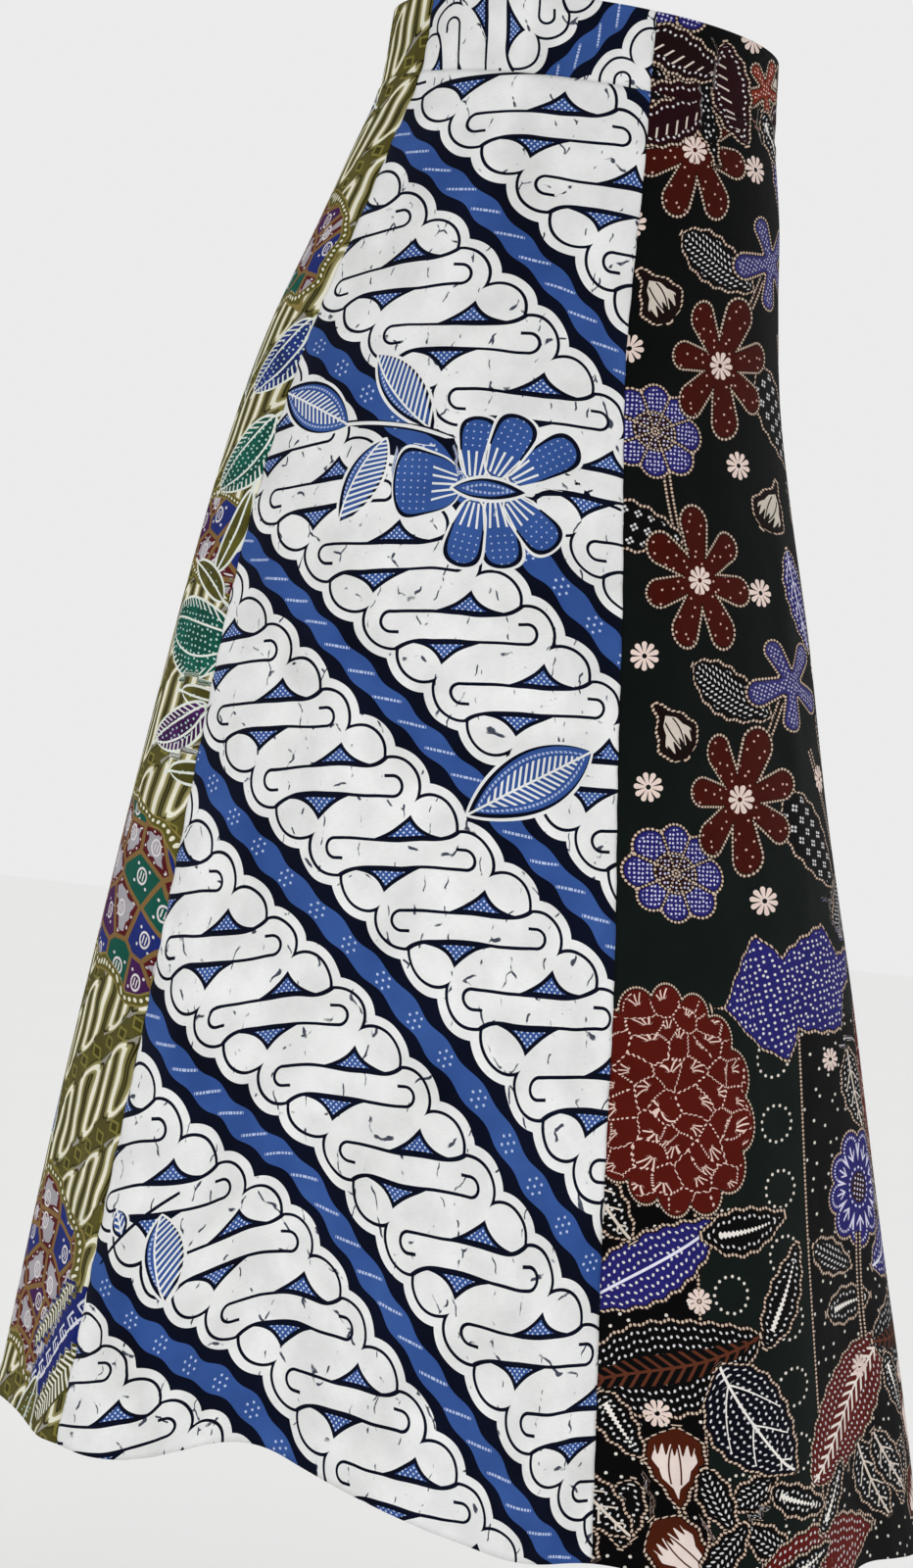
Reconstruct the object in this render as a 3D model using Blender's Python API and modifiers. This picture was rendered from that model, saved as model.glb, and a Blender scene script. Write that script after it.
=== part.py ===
"""Batik skirt in its worn form: four flared gores on a fitted waistband, with a zip in the left back seam.

The origin is the centre of the waist at half the band's height. -Y is the wearer's front, -X the right side
and +Z up. An angle round the waist starts at the front and runs over the right side (90), the back (180) and
the left (270). A drop is the height below the seam that joins the gores to the waistband, negative inside it.
"""

from collections import namedtuple
from math import cos, pi, radians, sin

import bmesh
import bpy
from mathutils import Matrix, Vector

# Cloth
GORE_CLOTH = 0.0012
BAND_CLOTH = 0.0020
SEAM_GAP = 0.0003

# Lengths
BAND_HEIGHT = 0.044
GORE_LENGTH = 0.772
# The waist is lower in front by this rise over run, and the front is longer than the back by this share
WAIST_TILT = 0.035
FRONT_SHARE = 0.030

# Half widths of the skirt's section at each drop: to the sides, the front and the back
Section = namedtuple("Section", "drop side front back")
SECTIONS = (
    Section(-0.044, 0.1215, 0.1125, 0.1125),
    Section(0.000, 0.1240, 0.1153, 0.1163),
    Section(0.046, 0.1380, 0.1222, 0.1311),
    Section(0.092, 0.1500, 0.1262, 0.1470),
    Section(0.147, 0.1650, 0.1328, 0.1666),
    Section(0.202, 0.1780, 0.1447, 0.1805),
    Section(0.276, 0.1940, 0.1634, 0.1941),
    Section(0.368, 0.2120, 0.1838, 0.2076),
    Section(0.478, 0.2340, 0.2118, 0.2218),
    Section(0.607, 0.2580, 0.2388, 0.2359),
    Section(0.736, 0.2810, 0.2667, 0.2469),
    Section(0.800, 0.2920, 0.2780, 0.2532),
)

# Angles of the right side gore's two seams, which the left side mirrors
Seam = namedtuple("Seam", "drop front back")
SEAMS = (
    Seam(0.00, 54.5, 125.5),
    Seam(0.14, 54.5, 129.0),
    Seam(0.28, 54.5, 131.0),
    Seam(0.42, 55.0, 128.5),
    Seam(0.57, 55.5, 125.5),
    Seam(0.80, 55.5, 123.5),
)

# Soft flutes of the hem: swing outwards and lift of the edge, both fading upwards to the drop called top
Flute = namedtuple("Flute", "angle half_width swing top lift")
FLUTES = (
    Flute(8, 16, -0.010, 0.42, 0.004),
    Flute(33, 16, 0.012, 0.38, -0.003),
    Flute(55, 14, -0.012, 0.42, 0.006),
    Flute(76, 16, 0.012, 0.36, 0.014),
    Flute(96, 24, -0.016, 0.38, 0.034),
    Flute(121, 15, 0.010, 0.40, 0.006),
    Flute(143, 16, -0.006, 0.46, 0.001),
    Flute(165, 16, 0.004, 0.42, -0.002),
    Flute(187, 16, -0.009, 0.40, 0.004),
    Flute(208, 16, 0.010, 0.44, -0.003),
    Flute(231, 16, -0.010, 0.42, 0.005),
    Flute(254, 17, 0.011, 0.38, -0.003),
    Flute(279, 18, -0.014, 0.36, 0.016),
    Flute(303, 15, 0.010, 0.40, -0.003),
    Flute(322, 14, -0.009, 0.44, 0.003),
    Flute(343, 15, 0.009, 0.42, -0.003),
)

# Grid of each panel: divisions across and down
GORE_ROWS = 30
WIDE_GORE_COLUMNS = 26
SIDE_GORE_COLUMNS = 18
BAND_ROWS = 2
WIDE_BAND_COLUMNS = 18
SIDE_BAND_COLUMNS = 12

# Zip: two tapes behind the left back seam, and a slider with its pull outside, shown closed
TAPE_TOP = -0.040
TAPE_BOTTOM = 0.160
TAPE_WIDTH = 0.011
TAPE_CLOTH = 0.0010
TAPE_ROWS = 10
TAPE_COLUMNS = 2
SLIDER_DROP = -0.034
SLIDER_WIDTH = 0.0056
SLIDER_HEIGHT = 0.0080
SLIDER_DEPTH = 0.0020
SLIDER_EDGE = 0.0005
CHEEK_GAP = 0.0026
CHEEK_WIDTH = 0.0008
CHEEK_HEIGHT = 0.0026
CHEEK_DEPTH = 0.0024
PIN_RADIUS = 0.0005
PIN_STANDOFF = 0.0013
EYE_RADIUS = 0.0010
EYE_HOLE_RADIUS = 0.00058
EYE_WIDTH = 0.0020
PULL_LENGTH = 0.0210
PULL_OVERLAP = 0.0006
PULL_WIDTH = 0.0062
PULL_THICKNESS = 0.0012
PULL_CORNER = 0.0026
ROUND_SIDES = 24
EDGE_SEGMENTS = 2
CORNER_SEGMENTS = 6

# Small steps that measure the surface's direction
ANGLE_STEP = 0.2
DROP_STEP = 0.0005


def between(rows, drop, column):
    """A smooth curve through one column of a table."""
    drops = [row.drop for row in rows]
    values = [getattr(row, column) for row in rows]
    k = max(i for i in range(len(rows) - 1) if drops[i] <= drop or i == 0)
    last = len(rows) - 1

    def slope(i):
        low, high = max(i - 1, 0), min(i + 1, last)
        return (values[high] - values[low]) / (drops[high] - drops[low])

    span = drops[k + 1] - drops[k]
    t = (drop - drops[k]) / span
    near = values[k] * (1 + 2 * t) * (1 - t) ** 2 + slope(k) * span * t * (1 - t) ** 2
    far = values[k + 1] * t * t * (3 - 2 * t) - slope(k + 1) * span * t * t * (1 - t)
    return near + far


def flutes_at(angle, drop):
    """The swing outwards and the lift of the flutes at one place."""
    swing = 0.0
    lift = 0.0
    for flute in FLUTES:
        off = abs((angle - flute.angle + 180) % 360 - 180) / flute.half_width
        fall = (drop - flute.top) / (GORE_LENGTH - flute.top)
        if off < 1 and fall > 0:
            share = cos(off * pi / 2) ** 2 * fall * fall * (3 - 2 * min(fall, 1))
            swing += flute.swing * share
            lift += flute.lift * share
    return swing, lift


def skirt_point(angle, drop):
    """A point of the skirt's outer surface."""
    turn = radians(angle)
    depth = between(SECTIONS, drop, "front" if cos(turn) > 0 else "back")
    across = Vector((-between(SECTIONS, drop, "side") * sin(turn), -depth * cos(turn), 0))
    swing, lift = flutes_at(angle, drop)
    across *= 1 + swing / across.length
    length = drop * (1 + FRONT_SHARE * (1 + cos(turn)) / 2)
    height = -BAND_HEIGHT / 2 - length + lift + WAIST_TILT * across.y
    return Vector((across.x, across.y, height))


def skirt_normal(angle, drop):
    """The outward direction of the skirt's surface."""
    around = skirt_point(angle + ANGLE_STEP, drop) - skirt_point(angle - ANGLE_STEP, drop)
    down = skirt_point(angle, drop + DROP_STEP) - skirt_point(angle, drop - DROP_STEP)
    return around.cross(down).normalized()


def moved_along(angle, drop, reach):
    """The angle of a point that lies reach further along the cloth at the same drop."""
    around = skirt_point(angle + ANGLE_STEP, drop) - skirt_point(angle - ANGLE_STEP, drop)
    return angle + reach * 2 * ANGLE_STEP / around.length


def seam_angle(name, drop):
    """The angle of a seam: the right side gore's as in the table, the left one's mirrored."""
    side, column = name.split("_")
    angle = between(SEAMS, max(drop, 0), column)
    return angle if side == "right" else 360 - angle


def material_of(name, colour, roughness, metallic=0.0):
    material = bpy.data.materials.new(name)
    material.use_nodes = True
    shader = material.node_tree.nodes["Principled BSDF"]
    shader.inputs["Base Color"].default_value = (*colour, 1)
    shader.inputs["Roughness"].default_value = roughness
    shader.inputs["Metallic"].default_value = metallic
    material.diffuse_color = (*colour, 1)
    return material


def new_object(name, mesh, collection, material=None, frame=None):
    body = bpy.data.objects.new(name, mesh)
    collection.objects.link(body)
    if material:
        mesh.materials.append(material)
    if frame:
        body.matrix_world = frame
    return body


def panel(name, first, second, top, bottom, columns, rows, cloth, material, inset=0.0):
    """A piece of cloth between two seams and two drops: a grid laid on the skirt and given its thickness."""
    form = bmesh.new()
    bmesh.ops.create_grid(form, x_segments=columns, y_segments=rows, size=0.5)
    for vertex in form.verts:
        across = vertex.co.x + 0.5
        drop = top + (0.5 - vertex.co.y) * (bottom - top)
        start, end = first(drop), second(drop)
        angle = start + (end - start) % 360 * across
        vertex.co = skirt_point(angle, drop) - skirt_normal(angle, drop) * inset
    form.normal_update()
    form.faces.ensure_lookup_table()
    if form.faces[0].normal.dot(form.faces[0].calc_center_median() * Vector((1, 1, 0))) < 0:
        bmesh.ops.reverse_faces(form, faces=form.faces)
    mesh = bpy.data.meshes.new(name)
    form.to_mesh(mesh)
    form.free()
    mesh.shade_smooth()
    body = new_object(name, mesh, skirt, material)
    wall = body.modifiers.new("wall", "SOLIDIFY")
    wall.thickness = cloth
    wall.offset = -1
    wall.use_even_offset = True
    return body


def beside(name, reach):
    """A line along a seam, reach from it along the cloth, positive towards larger angles."""
    return lambda drop: moved_along(seam_angle(name, drop), drop, reach)


def cloth_ring(kind, top, bottom, wide_columns, side_columns, rows, cloth, materials):
    """The four panels of one tier, from the front round over the right side."""
    for side, first, second, columns in (
        ("front", "left_front", "right_front", wide_columns),
        ("right", "right_front", "right_back", side_columns),
        ("back", "right_back", "left_back", wide_columns),
        ("left", "left_back", "left_front", side_columns),
    ):
        panel(
            f"{kind}_{side}",
            beside(first, SEAM_GAP / 2),
            beside(second, -SEAM_GAP / 2),
            top,
            bottom,
            columns,
            rows,
            cloth,
            materials[side],
        )


def box_form(size, centre):
    form = bmesh.new()
    bmesh.ops.create_cube(form, size=1)
    bmesh.ops.scale(form, verts=form.verts, vec=size)
    bmesh.ops.translate(form, verts=form.verts, vec=centre)
    return form


def rod_form(radius, length):
    """A cylinder along X, centred on the origin."""
    form = bmesh.new()
    bmesh.ops.create_cone(
        form, cap_ends=True, segments=ROUND_SIDES, radius1=radius, radius2=radius, depth=length
    )
    bmesh.ops.rotate(form, verts=form.verts, matrix=Matrix.Rotation(pi / 2, 3, "Y"))
    return form


def mesh_from(form, name):
    mesh = bpy.data.meshes.new(name)
    form.to_mesh(mesh)
    form.free()
    return mesh


def combine(body, other, operation):
    step = body.modifiers.new(operation.lower(), "BOOLEAN")
    step.operation = operation
    step.object = other
    other.hide_render = True
    other.display_type = "WIRE"


def pin_place():
    """The centre of the hinge pin in the slider's own frame, with its origin on the slider's back face."""
    return Vector((0, SLIDER_DEPTH + PIN_STANDOFF, SLIDER_HEIGHT / 2 - CHEEK_HEIGHT / 2))


def zip_slider(frame):
    """The slider's rounded body with two cheeks that hold the pull's pin."""
    form = box_form((SLIDER_WIDTH, SLIDER_DEPTH, SLIDER_HEIGHT), (0, SLIDER_DEPTH / 2, 0))
    bmesh.ops.bevel(
        form, geom=form.edges[:], offset=SLIDER_EDGE, segments=EDGE_SEGMENTS, profile=0.5, affect="EDGES"
    )
    body = new_object("zip_slider", mesh_from(form, "zip_slider"), skirt, slider_metal, frame)
    for side in (-1, 1):
        across = side * (CHEEK_GAP + CHEEK_WIDTH) / 2
        centre = (across, SLIDER_DEPTH + CHEEK_DEPTH / 2 - SLIDER_EDGE, pin_place().z)
        cheek = box_form((CHEEK_WIDTH, CHEEK_DEPTH, CHEEK_HEIGHT), centre)
        name = f"cheek_{side}"
        combine(body, new_object(name, mesh_from(cheek, name), cutters, None, frame), "UNION")
    rod = rod_form(PIN_RADIUS, CHEEK_GAP + CHEEK_WIDTH)
    pin_frame = frame @ Matrix.Translation(pin_place())
    combine(body, new_object("pin", mesh_from(rod, "pin"), cutters, None, pin_frame), "UNION")


def zip_pull(frame):
    """The pull tab: an eye on the pin and a plate that widens to a rounded end, its origin on the pin."""
    middle = -(PULL_LENGTH + PULL_OVERLAP) / 2
    form = box_form((EYE_WIDTH, PULL_THICKNESS, PULL_LENGTH - PULL_OVERLAP), (0, 0, middle))
    low = [vertex for vertex in form.verts if vertex.co.z < middle]
    for vertex in low:
        vertex.co.x *= PULL_WIDTH / EYE_WIDTH
    corners = [
        edge
        for edge in form.edges
        if all(v in low for v in edge.verts) and edge.verts[0].co.x * edge.verts[1].co.x > 0
    ]
    bmesh.ops.bevel(
        form, geom=corners, offset=PULL_CORNER, segments=CORNER_SEGMENTS, profile=0.5, affect="EDGES"
    )
    body = new_object("zip_pull", mesh_from(form, "zip_pull"), skirt, pull_metal, frame)
    eye = rod_form(EYE_RADIUS, EYE_WIDTH)
    combine(body, new_object("eye", mesh_from(eye, "eye"), cutters, None, frame), "UNION")
    hole = rod_form(EYE_HOLE_RADIUS, EYE_WIDTH * 2)
    combine(body, new_object("hole", mesh_from(hole, "hole"), cutters, None, frame), "DIFFERENCE")


for old in list(bpy.data.objects):
    bpy.data.objects.remove(old, do_unlink=True)
skirt = bpy.data.collections.new("batik_skirt")
cutters = bpy.data.collections.new("cutters")
for group in (skirt, cutters):
    bpy.context.scene.collection.children.link(group)
cutters.hide_render = True

GORE_COLOURS = {
    "front": ("floral batik, black green ground", (0.030, 0.022, 0.020)),
    "right": ("parang batik, white and blue", (0.600, 0.600, 0.620)),
    "back": ("patch batik, olive and maroon", (0.125, 0.110, 0.045)),
    "left": ("parang batik, white and blue, left", (0.600, 0.600, 0.620)),
}
cloths = {side: material_of(*named, 0.85) for side, named in GORE_COLOURS.items()}
band_cloths = {
    side: material_of(f"{label}, band", colour, 0.85) for side, (label, colour) in GORE_COLOURS.items()
}
tapes = {side: material_of(f"woven zip tape, {side}", (0.05, 0.05, 0.05), 0.8) for side in ("back", "left")}
slider_metal = material_of("enamelled zip slider", (0.04, 0.04, 0.045), 0.35, 1.0)
pull_metal = material_of("enamelled zip pull", (0.04, 0.04, 0.045), 0.35, 1.0)

# The gores hang from the band's lower edge, a seam's gap below it
cloth_ring(
    "gore",
    SEAM_GAP / 2,
    GORE_LENGTH,
    WIDE_GORE_COLUMNS,
    SIDE_GORE_COLUMNS,
    GORE_ROWS,
    GORE_CLOTH,
    cloths,
)
cloth_ring(
    "band",
    -BAND_HEIGHT,
    -SEAM_GAP / 2,
    WIDE_BAND_COLUMNS,
    SIDE_BAND_COLUMNS,
    BAND_ROWS,
    BAND_CLOTH,
    band_cloths,
)

# The tapes lie inside, each beside the seam on its own gore
for side, first, second in (
    ("back", beside("left_back", -TAPE_WIDTH), beside("left_back", -SEAM_GAP / 2)),
    ("left", beside("left_back", SEAM_GAP / 2), beside("left_back", TAPE_WIDTH)),
):
    panel(
        f"zip_tape_{side}",
        first,
        second,
        TAPE_TOP,
        TAPE_BOTTOM,
        TAPE_COLUMNS,
        TAPE_ROWS,
        TAPE_CLOTH,
        tapes[side],
        BAND_CLOTH + SEAM_GAP,
    )

# The slider sits on the seam near the band's top. Its frame is X along the pin, Y outwards, Z up the cloth
zip_angle = seam_angle("left_back", SLIDER_DROP)
outwards = skirt_normal(zip_angle, SLIDER_DROP)
along_pin = outwards.cross(Vector((0, 0, 1))).normalized()
upwards = along_pin.cross(outwards)
seat = skirt_point(zip_angle, SLIDER_DROP) + outwards * SEAM_GAP
slider_frame = Matrix.Translation(seat) @ Matrix((along_pin, outwards, upwards)).transposed().to_4x4()
zip_slider(slider_frame)
zip_pull(slider_frame @ Matrix.Translation(pin_place()))
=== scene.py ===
# %% [markdown]
# # A batik skirt
# The skirt is sewn from four flared gores of wax-resist printed cotton on a fitted waistband: a dark floral
# one in front, a white and blue parang one on each side, and a patchwork one behind. It keeps its worn form.
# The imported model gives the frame: every new piece stands for the plain solid at its place.

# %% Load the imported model
from collections import namedtuple
from math import cos, pi, radians, sin

import bmesh
import bpy
import numpy as np
from mathutils import Matrix, Vector


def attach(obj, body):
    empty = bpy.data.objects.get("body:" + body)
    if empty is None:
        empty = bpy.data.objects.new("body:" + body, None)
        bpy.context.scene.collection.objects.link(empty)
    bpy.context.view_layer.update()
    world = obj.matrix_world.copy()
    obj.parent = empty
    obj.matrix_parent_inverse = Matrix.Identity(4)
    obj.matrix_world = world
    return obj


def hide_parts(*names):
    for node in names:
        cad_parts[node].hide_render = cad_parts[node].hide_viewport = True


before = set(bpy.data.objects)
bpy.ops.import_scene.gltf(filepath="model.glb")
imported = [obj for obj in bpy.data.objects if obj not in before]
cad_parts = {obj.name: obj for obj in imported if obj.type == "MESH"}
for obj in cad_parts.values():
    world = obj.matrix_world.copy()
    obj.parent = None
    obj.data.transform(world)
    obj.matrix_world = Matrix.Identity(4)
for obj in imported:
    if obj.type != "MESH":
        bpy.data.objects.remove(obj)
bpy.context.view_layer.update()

# %% [markdown]
# ## Camera
# The photograph looks level at the wearer's right side, from 15 degrees towards the front, at mid-skirt
# height and 2.3 m away, with the picture rolled by 6 degrees. The lens follows from the picture's scale.

# %% Camera
VIEW_TURN = radians(15)
VIEW_DISTANCE = 2.3
VIEW_HEIGHT = -0.4424
PAN = -0.0131
TILT = 0.0115
ROLL = radians(6)
SENSOR = 36.0
FOCAL_SHARE = 4033 / 1600

into = Vector((cos(VIEW_TURN), sin(VIEW_TURN), 0))
side = Vector((sin(VIEW_TURN), -cos(VIEW_TURN), 0))
ahead = side * sin(PAN) + into * cos(PAN)
right = side * cos(PAN) - into * sin(PAN)
forward = ahead * cos(TILT) + Vector((0, 0, 1)) * sin(TILT)
upward = Vector((0, 0, 1)) * cos(TILT) - ahead * sin(TILT)
image_right = right * cos(ROLL) + upward * sin(ROLL)
image_up = upward * cos(ROLL) - right * sin(ROLL)

camera = bpy.data.objects.new("camera", bpy.data.cameras.new("camera"))
bpy.context.scene.collection.objects.link(camera)
camera.data.sensor_fit = "VERTICAL"
camera.data.sensor_height = SENSOR
camera.data.lens = FOCAL_SHARE * SENSOR
turn = Matrix((image_right, image_up, -forward)).transposed().to_4x4()
place = (-VIEW_DISTANCE * cos(VIEW_TURN), -VIEW_DISTANCE * sin(VIEW_TURN), VIEW_HEIGHT)
camera.matrix_world = Matrix.Translation(place) @ turn
bpy.context.scene.camera = camera
print("lens", round(camera.data.lens, 1), "mm")

# %% [markdown]
# ## Colours and nodes
# Colours are read as sRGB hex values and turned to linear light, which is what the shaders reckon in.
# Patterns are sums of many small nodes, so one function adds a node, gives it its settings and links it.

# %% Colours
SRGB_KNEE = 0.04045
SRGB_SLOPE = 12.92
SRGB_OFFSET = 0.055
SRGB_POWER = 2.4


def dye(code):
    """Linear RGBA from an sRGB hex value."""
    shares = [int(code[i : i + 2], 16) / 255 for i in (1, 3, 5)]
    linear = [
        share / SRGB_SLOPE
        if share <= SRGB_KNEE
        else ((share + SRGB_OFFSET) / (1 + SRGB_OFFSET)) ** SRGB_POWER
        for share in shares
    ]
    return (*linear, 1.0)


print("off-white", [round(x, 3) for x in dye("#E4E3DC")])


# %% Adding a node
def live(sockets):
    return [socket for socket in sockets if socket.enabled]


def add_node(tree, kind, inputs=(), **settings):
    """Adds a node, gives it its settings, and sets or links its inputs."""
    made = tree.nodes.new("ShaderNode" + kind)
    for name, value in settings.items():
        setattr(made, name, value)
    for socket, value in zip(live(made.inputs), inputs):
        if isinstance(value, bpy.types.NodeSocket):
            tree.links.new(value, socket)
        else:
            socket.default_value = value
    return made


# %% [markdown]
# ## Tables of nodes
# A pattern with hundreds of nodes is hard to follow in the node editor, and as hard when each link is a
# line of code. So a pattern is a table here: a row names what it works out, and later rows use that name.

# %% Reading a table of nodes
CHOICES = {
    "Math": "operation",
    "VectorMath": "operation",
    "Mix": "data_type",
    "Group": "node_tree",
    "TexNoise": "noise_dimensions",
    "TexVoronoi": "voronoi_dimensions",
}
SIGNS = {
    "+": "ADD",
    "-": "SUBTRACT",
    "*": "MULTIPLY",
    "/": "DIVIDE",
    "<": "LESS_THAN",
    ">": "GREATER_THAN",
    "*+": "MULTIPLY_ADD",
}
WORDS = {"blend": ("Mix", "RGBA"), "mix": ("Mix", "FLOAT")}


def steps_of(row):
    """The rows that a line of sums stands for, one for each node.

    "gap = far * 2 + near" names its result first. Other sums use the Math node's own word, as in
    "gap = maximum far near", and a comparison gives 1 where it is true and 0 elsewhere. "hypot" is the
    length of a pair of numbers, and "mix" and "blend" go from one number or dye to another by the share
    that is named first. After a bar the sum goes on from what it has reached: "gap = far * 2 | absolute"
    doubles far and drops its sign.
    """
    if not isinstance(row, str):
        return [row]
    name, sums = row.split(" = ")
    steps = []
    for step in sums.split(" | "):
        words = step.split()
        word = words[0]
        if steps:
            words.insert(0 if word in SIGNS else 1, name)
        sign = SIGNS.get("".join(words[1::2]))
        if word == "hypot":
            steps += [(name, "CombineXYZ", {}, *words[1:]), (name, "VectorMath", "LENGTH", name)]
        elif sign:
            steps.append((name, "Math", sign, *words[::2]))
        else:
            steps.append((name, *WORDS.get(word, ("Math", word.upper())), *words[1:]))
    return steps


def read(word, known):
    """What a word in a row stands for: an earlier output, a dye or a number."""
    if word in known:
        return known[word]
    return dye(word) if word.startswith("#") else float(word)


def reckon(tree, known, rows):
    """Adds a node for each row, whose string inputs are the names of earlier outputs.

    A row holds the names of its outputs, the kind of node, its main choice or settings, and its inputs.
    """
    for names, kind, choice, *inputs in (step for row in rows for step in steps_of(row)):
        inputs = [read(x, known) if isinstance(x, str) else x for x in inputs]
        settings = choice if isinstance(choice, dict) else {CHOICES[kind]: choice}
        made = add_node(tree, kind, inputs, **settings)
        known.update(zip(names.split(), live(made.outputs)))
    return known


def group(name, inputs, outputs, rows):
    """A node group: inputs are vectors if their names are capitals, and outputs are numbers."""
    made = bpy.data.node_groups.new(name, "ShaderNodeTree")
    for title in inputs.split():
        kind = "NodeSocketVector" if title.isupper() else "NodeSocketFloat"
        made.interface.new_socket(title, in_out="INPUT", socket_type=kind)
    for title in outputs.split():
        made.interface.new_socket(title, in_out="OUTPUT", socket_type="NodeSocketFloat")
    start = made.nodes.new("NodeGroupInput")
    end = made.nodes.new("NodeGroupOutput")
    known = dict(zip(inputs.split(), start.outputs))
    reckon(made, known, rows)
    for socket, title in zip(end.inputs, outputs.split()):
        made.links.new(known[title], socket)
    return made


print("signs", list(SIGNS))

# %% [markdown]
# ## Studio
# A pale matt floor and soft light from large lamps, a little brighter from the camera's side, as in a plain
# product photograph. The skirt hangs at the height at which a wearer would hold it.

# %% Floor and light
FLOOR_LEVEL = -1.0
FLOOR_SIZE = 40
BOARD_ROUGHNESS = 0.9
SKY_STRENGTH = 0.85
LAMPS_AIM = Vector((0, 0, -0.4))

floor_form = bmesh.new()
bmesh.ops.create_grid(floor_form, x_segments=1, y_segments=1, size=FLOOR_SIZE / 2)
bmesh.ops.translate(floor_form, verts=floor_form.verts, vec=(0, 0, FLOOR_LEVEL))
floor_mesh = bpy.data.meshes.new("floor")
floor_form.to_mesh(floor_mesh)
floor_form.free()
floor = bpy.data.objects.new("floor", floor_mesh)
bpy.context.scene.collection.objects.link(floor)

# Matt painted board: broad diffuse light with hardly any gloss, and faint mottling from the roller
paint = bpy.data.materials.new("matt painted board")
paint.use_nodes = True
tree = paint.node_tree
paint_shader = tree.nodes["Principled BSDF"]
paint_shader.inputs["Roughness"].default_value = BOARD_ROUGHNESS
mottle = reckon(
    tree,
    {"point": add_node(tree, "TexCoord").outputs["Object"]},
    (
        ("grain", "TexNoise", {}, "point", 2.0, 3.0),
        "board = blend grain #F8F8F7 #FCFCFB",
    ),
)
tree.links.new(mottle["board"], paint_shader.inputs["Base Color"])
floor_mesh.materials.append(paint)

world = bpy.data.worlds.new("studio")
bpy.context.scene.world = world
world.use_nodes = True
world.node_tree.nodes["Background"].inputs["Color"].default_value = dye("#FDFDFD")
world.node_tree.nodes["Background"].inputs["Strength"].default_value = SKY_STRENGTH
bpy.context.scene.view_settings.view_transform = "Standard"

Lamp = namedtuple("Lamp", "name turn height distance size power")
for lamp in (
    Lamp("front_lamp", 62, 0.4, 2.6, 1.6, 8.5),
    Lamp("back_lamp", 128, 0.7, 2.8, 1.8, 4),
    Lamp("low_lamp", 84, -0.7, 2.4, 1.2, 2),
):
    light = bpy.data.lights.new(lamp.name, "AREA")
    light.size = lamp.size
    light.energy = lamp.power
    spot = bpy.data.objects.new(lamp.name, light)
    bpy.context.scene.collection.objects.link(spot)
    a = radians(lamp.turn)
    spot.location = (-lamp.distance * sin(a), -lamp.distance * cos(a), lamp.height)
    spot.rotation_euler = (LAMPS_AIM - spot.location).to_track_quat("-Z", "Y").to_euler()
print("lamps", [light.name for light in bpy.data.lights])

# %% [markdown]
# ## The worn form
# An angle round the waist starts at the wearer's front and runs over the right side (90), the back (180) and
# the left (270). A drop is the height below the band's seam. Half-ellipse sections, seams and hem flutes
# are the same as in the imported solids. They are worked out here on whole arrays, because the cloth's grid
# is far finer than theirs.

# %% Sizes of the form
GORE_CLOTH = 0.0009
BAND_CLOTH = 0.0016
BAND_HEIGHT = 0.044
GORE_LENGTH = 0.772
WAIST_TILT = 0.035
FRONT_SHARE = 0.030

Section = namedtuple("Section", "drop side front back")
SECTIONS = (
    Section(-0.044, 0.1215, 0.1125, 0.1125),
    Section(0.000, 0.1240, 0.1153, 0.1163),
    Section(0.046, 0.1380, 0.1222, 0.1311),
    Section(0.092, 0.1500, 0.1262, 0.1470),
    Section(0.147, 0.1650, 0.1328, 0.1666),
    Section(0.202, 0.1780, 0.1447, 0.1805),
    Section(0.276, 0.1940, 0.1634, 0.1941),
    Section(0.368, 0.2120, 0.1838, 0.2076),
    Section(0.478, 0.2340, 0.2118, 0.2218),
    Section(0.607, 0.2580, 0.2388, 0.2359),
    Section(0.736, 0.2810, 0.2667, 0.2469),
    Section(0.800, 0.2920, 0.2780, 0.2532),
)
Seam = namedtuple("Seam", "drop front back")
SEAMS = (
    Seam(0.00, 54.5, 125.5),
    Seam(0.14, 54.5, 129.0),
    Seam(0.28, 54.5, 131.0),
    Seam(0.42, 55.0, 128.5),
    Seam(0.57, 55.5, 125.5),
    Seam(0.80, 55.5, 123.5),
)
Flute = namedtuple("Flute", "angle half_width swing top lift")
FLUTES = (
    Flute(8, 16, -0.010, 0.42, 0.004),
    Flute(33, 16, 0.012, 0.38, -0.003),
    Flute(55, 14, -0.012, 0.42, 0.006),
    Flute(76, 16, 0.012, 0.36, 0.014),
    Flute(96, 24, -0.016, 0.38, 0.034),
    Flute(121, 15, 0.010, 0.40, 0.006),
    Flute(143, 16, -0.006, 0.46, 0.001),
    Flute(165, 16, 0.004, 0.42, -0.002),
    Flute(187, 16, -0.009, 0.40, 0.004),
    Flute(208, 16, 0.010, 0.44, -0.003),
    Flute(231, 16, -0.010, 0.42, 0.005),
    Flute(254, 17, 0.011, 0.38, -0.003),
    Flute(279, 18, -0.014, 0.36, 0.016),
    Flute(303, 15, 0.010, 0.40, -0.003),
    Flute(322, 14, -0.009, 0.44, 0.003),
    Flute(343, 15, 0.009, 0.42, -0.003),
)
print(len(SECTIONS), "sections,", len(FLUTES), "flutes")

# %% The surface on arrays
ANGLE_STEP = 0.2
DROP_STEP = 0.0005


def between(rows, drop, column):
    """A smooth curve through one column of a table."""
    drops = np.array([row.drop for row in rows])
    values = np.array([getattr(row, column) for row in rows])
    order = np.arange(len(rows))
    low = np.maximum(order - 1, 0)
    high = np.minimum(order + 1, len(rows) - 1)
    slopes = (values[high] - values[low]) / (drops[high] - drops[low])
    k = np.clip(np.searchsorted(drops, drop, side="right") - 1, 0, len(rows) - 2)
    span = drops[k + 1] - drops[k]
    t = (drop - drops[k]) / span
    near = values[k] * (1 + 2 * t) * (1 - t) ** 2 + slopes[k] * span * t * (1 - t) ** 2
    far = values[k + 1] * t * t * (3 - 2 * t) - slopes[k + 1] * span * t * t * (1 - t)
    return near + far


def off_angle(angle, centre):
    return (angle - centre + 180) % 360 - 180


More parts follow.
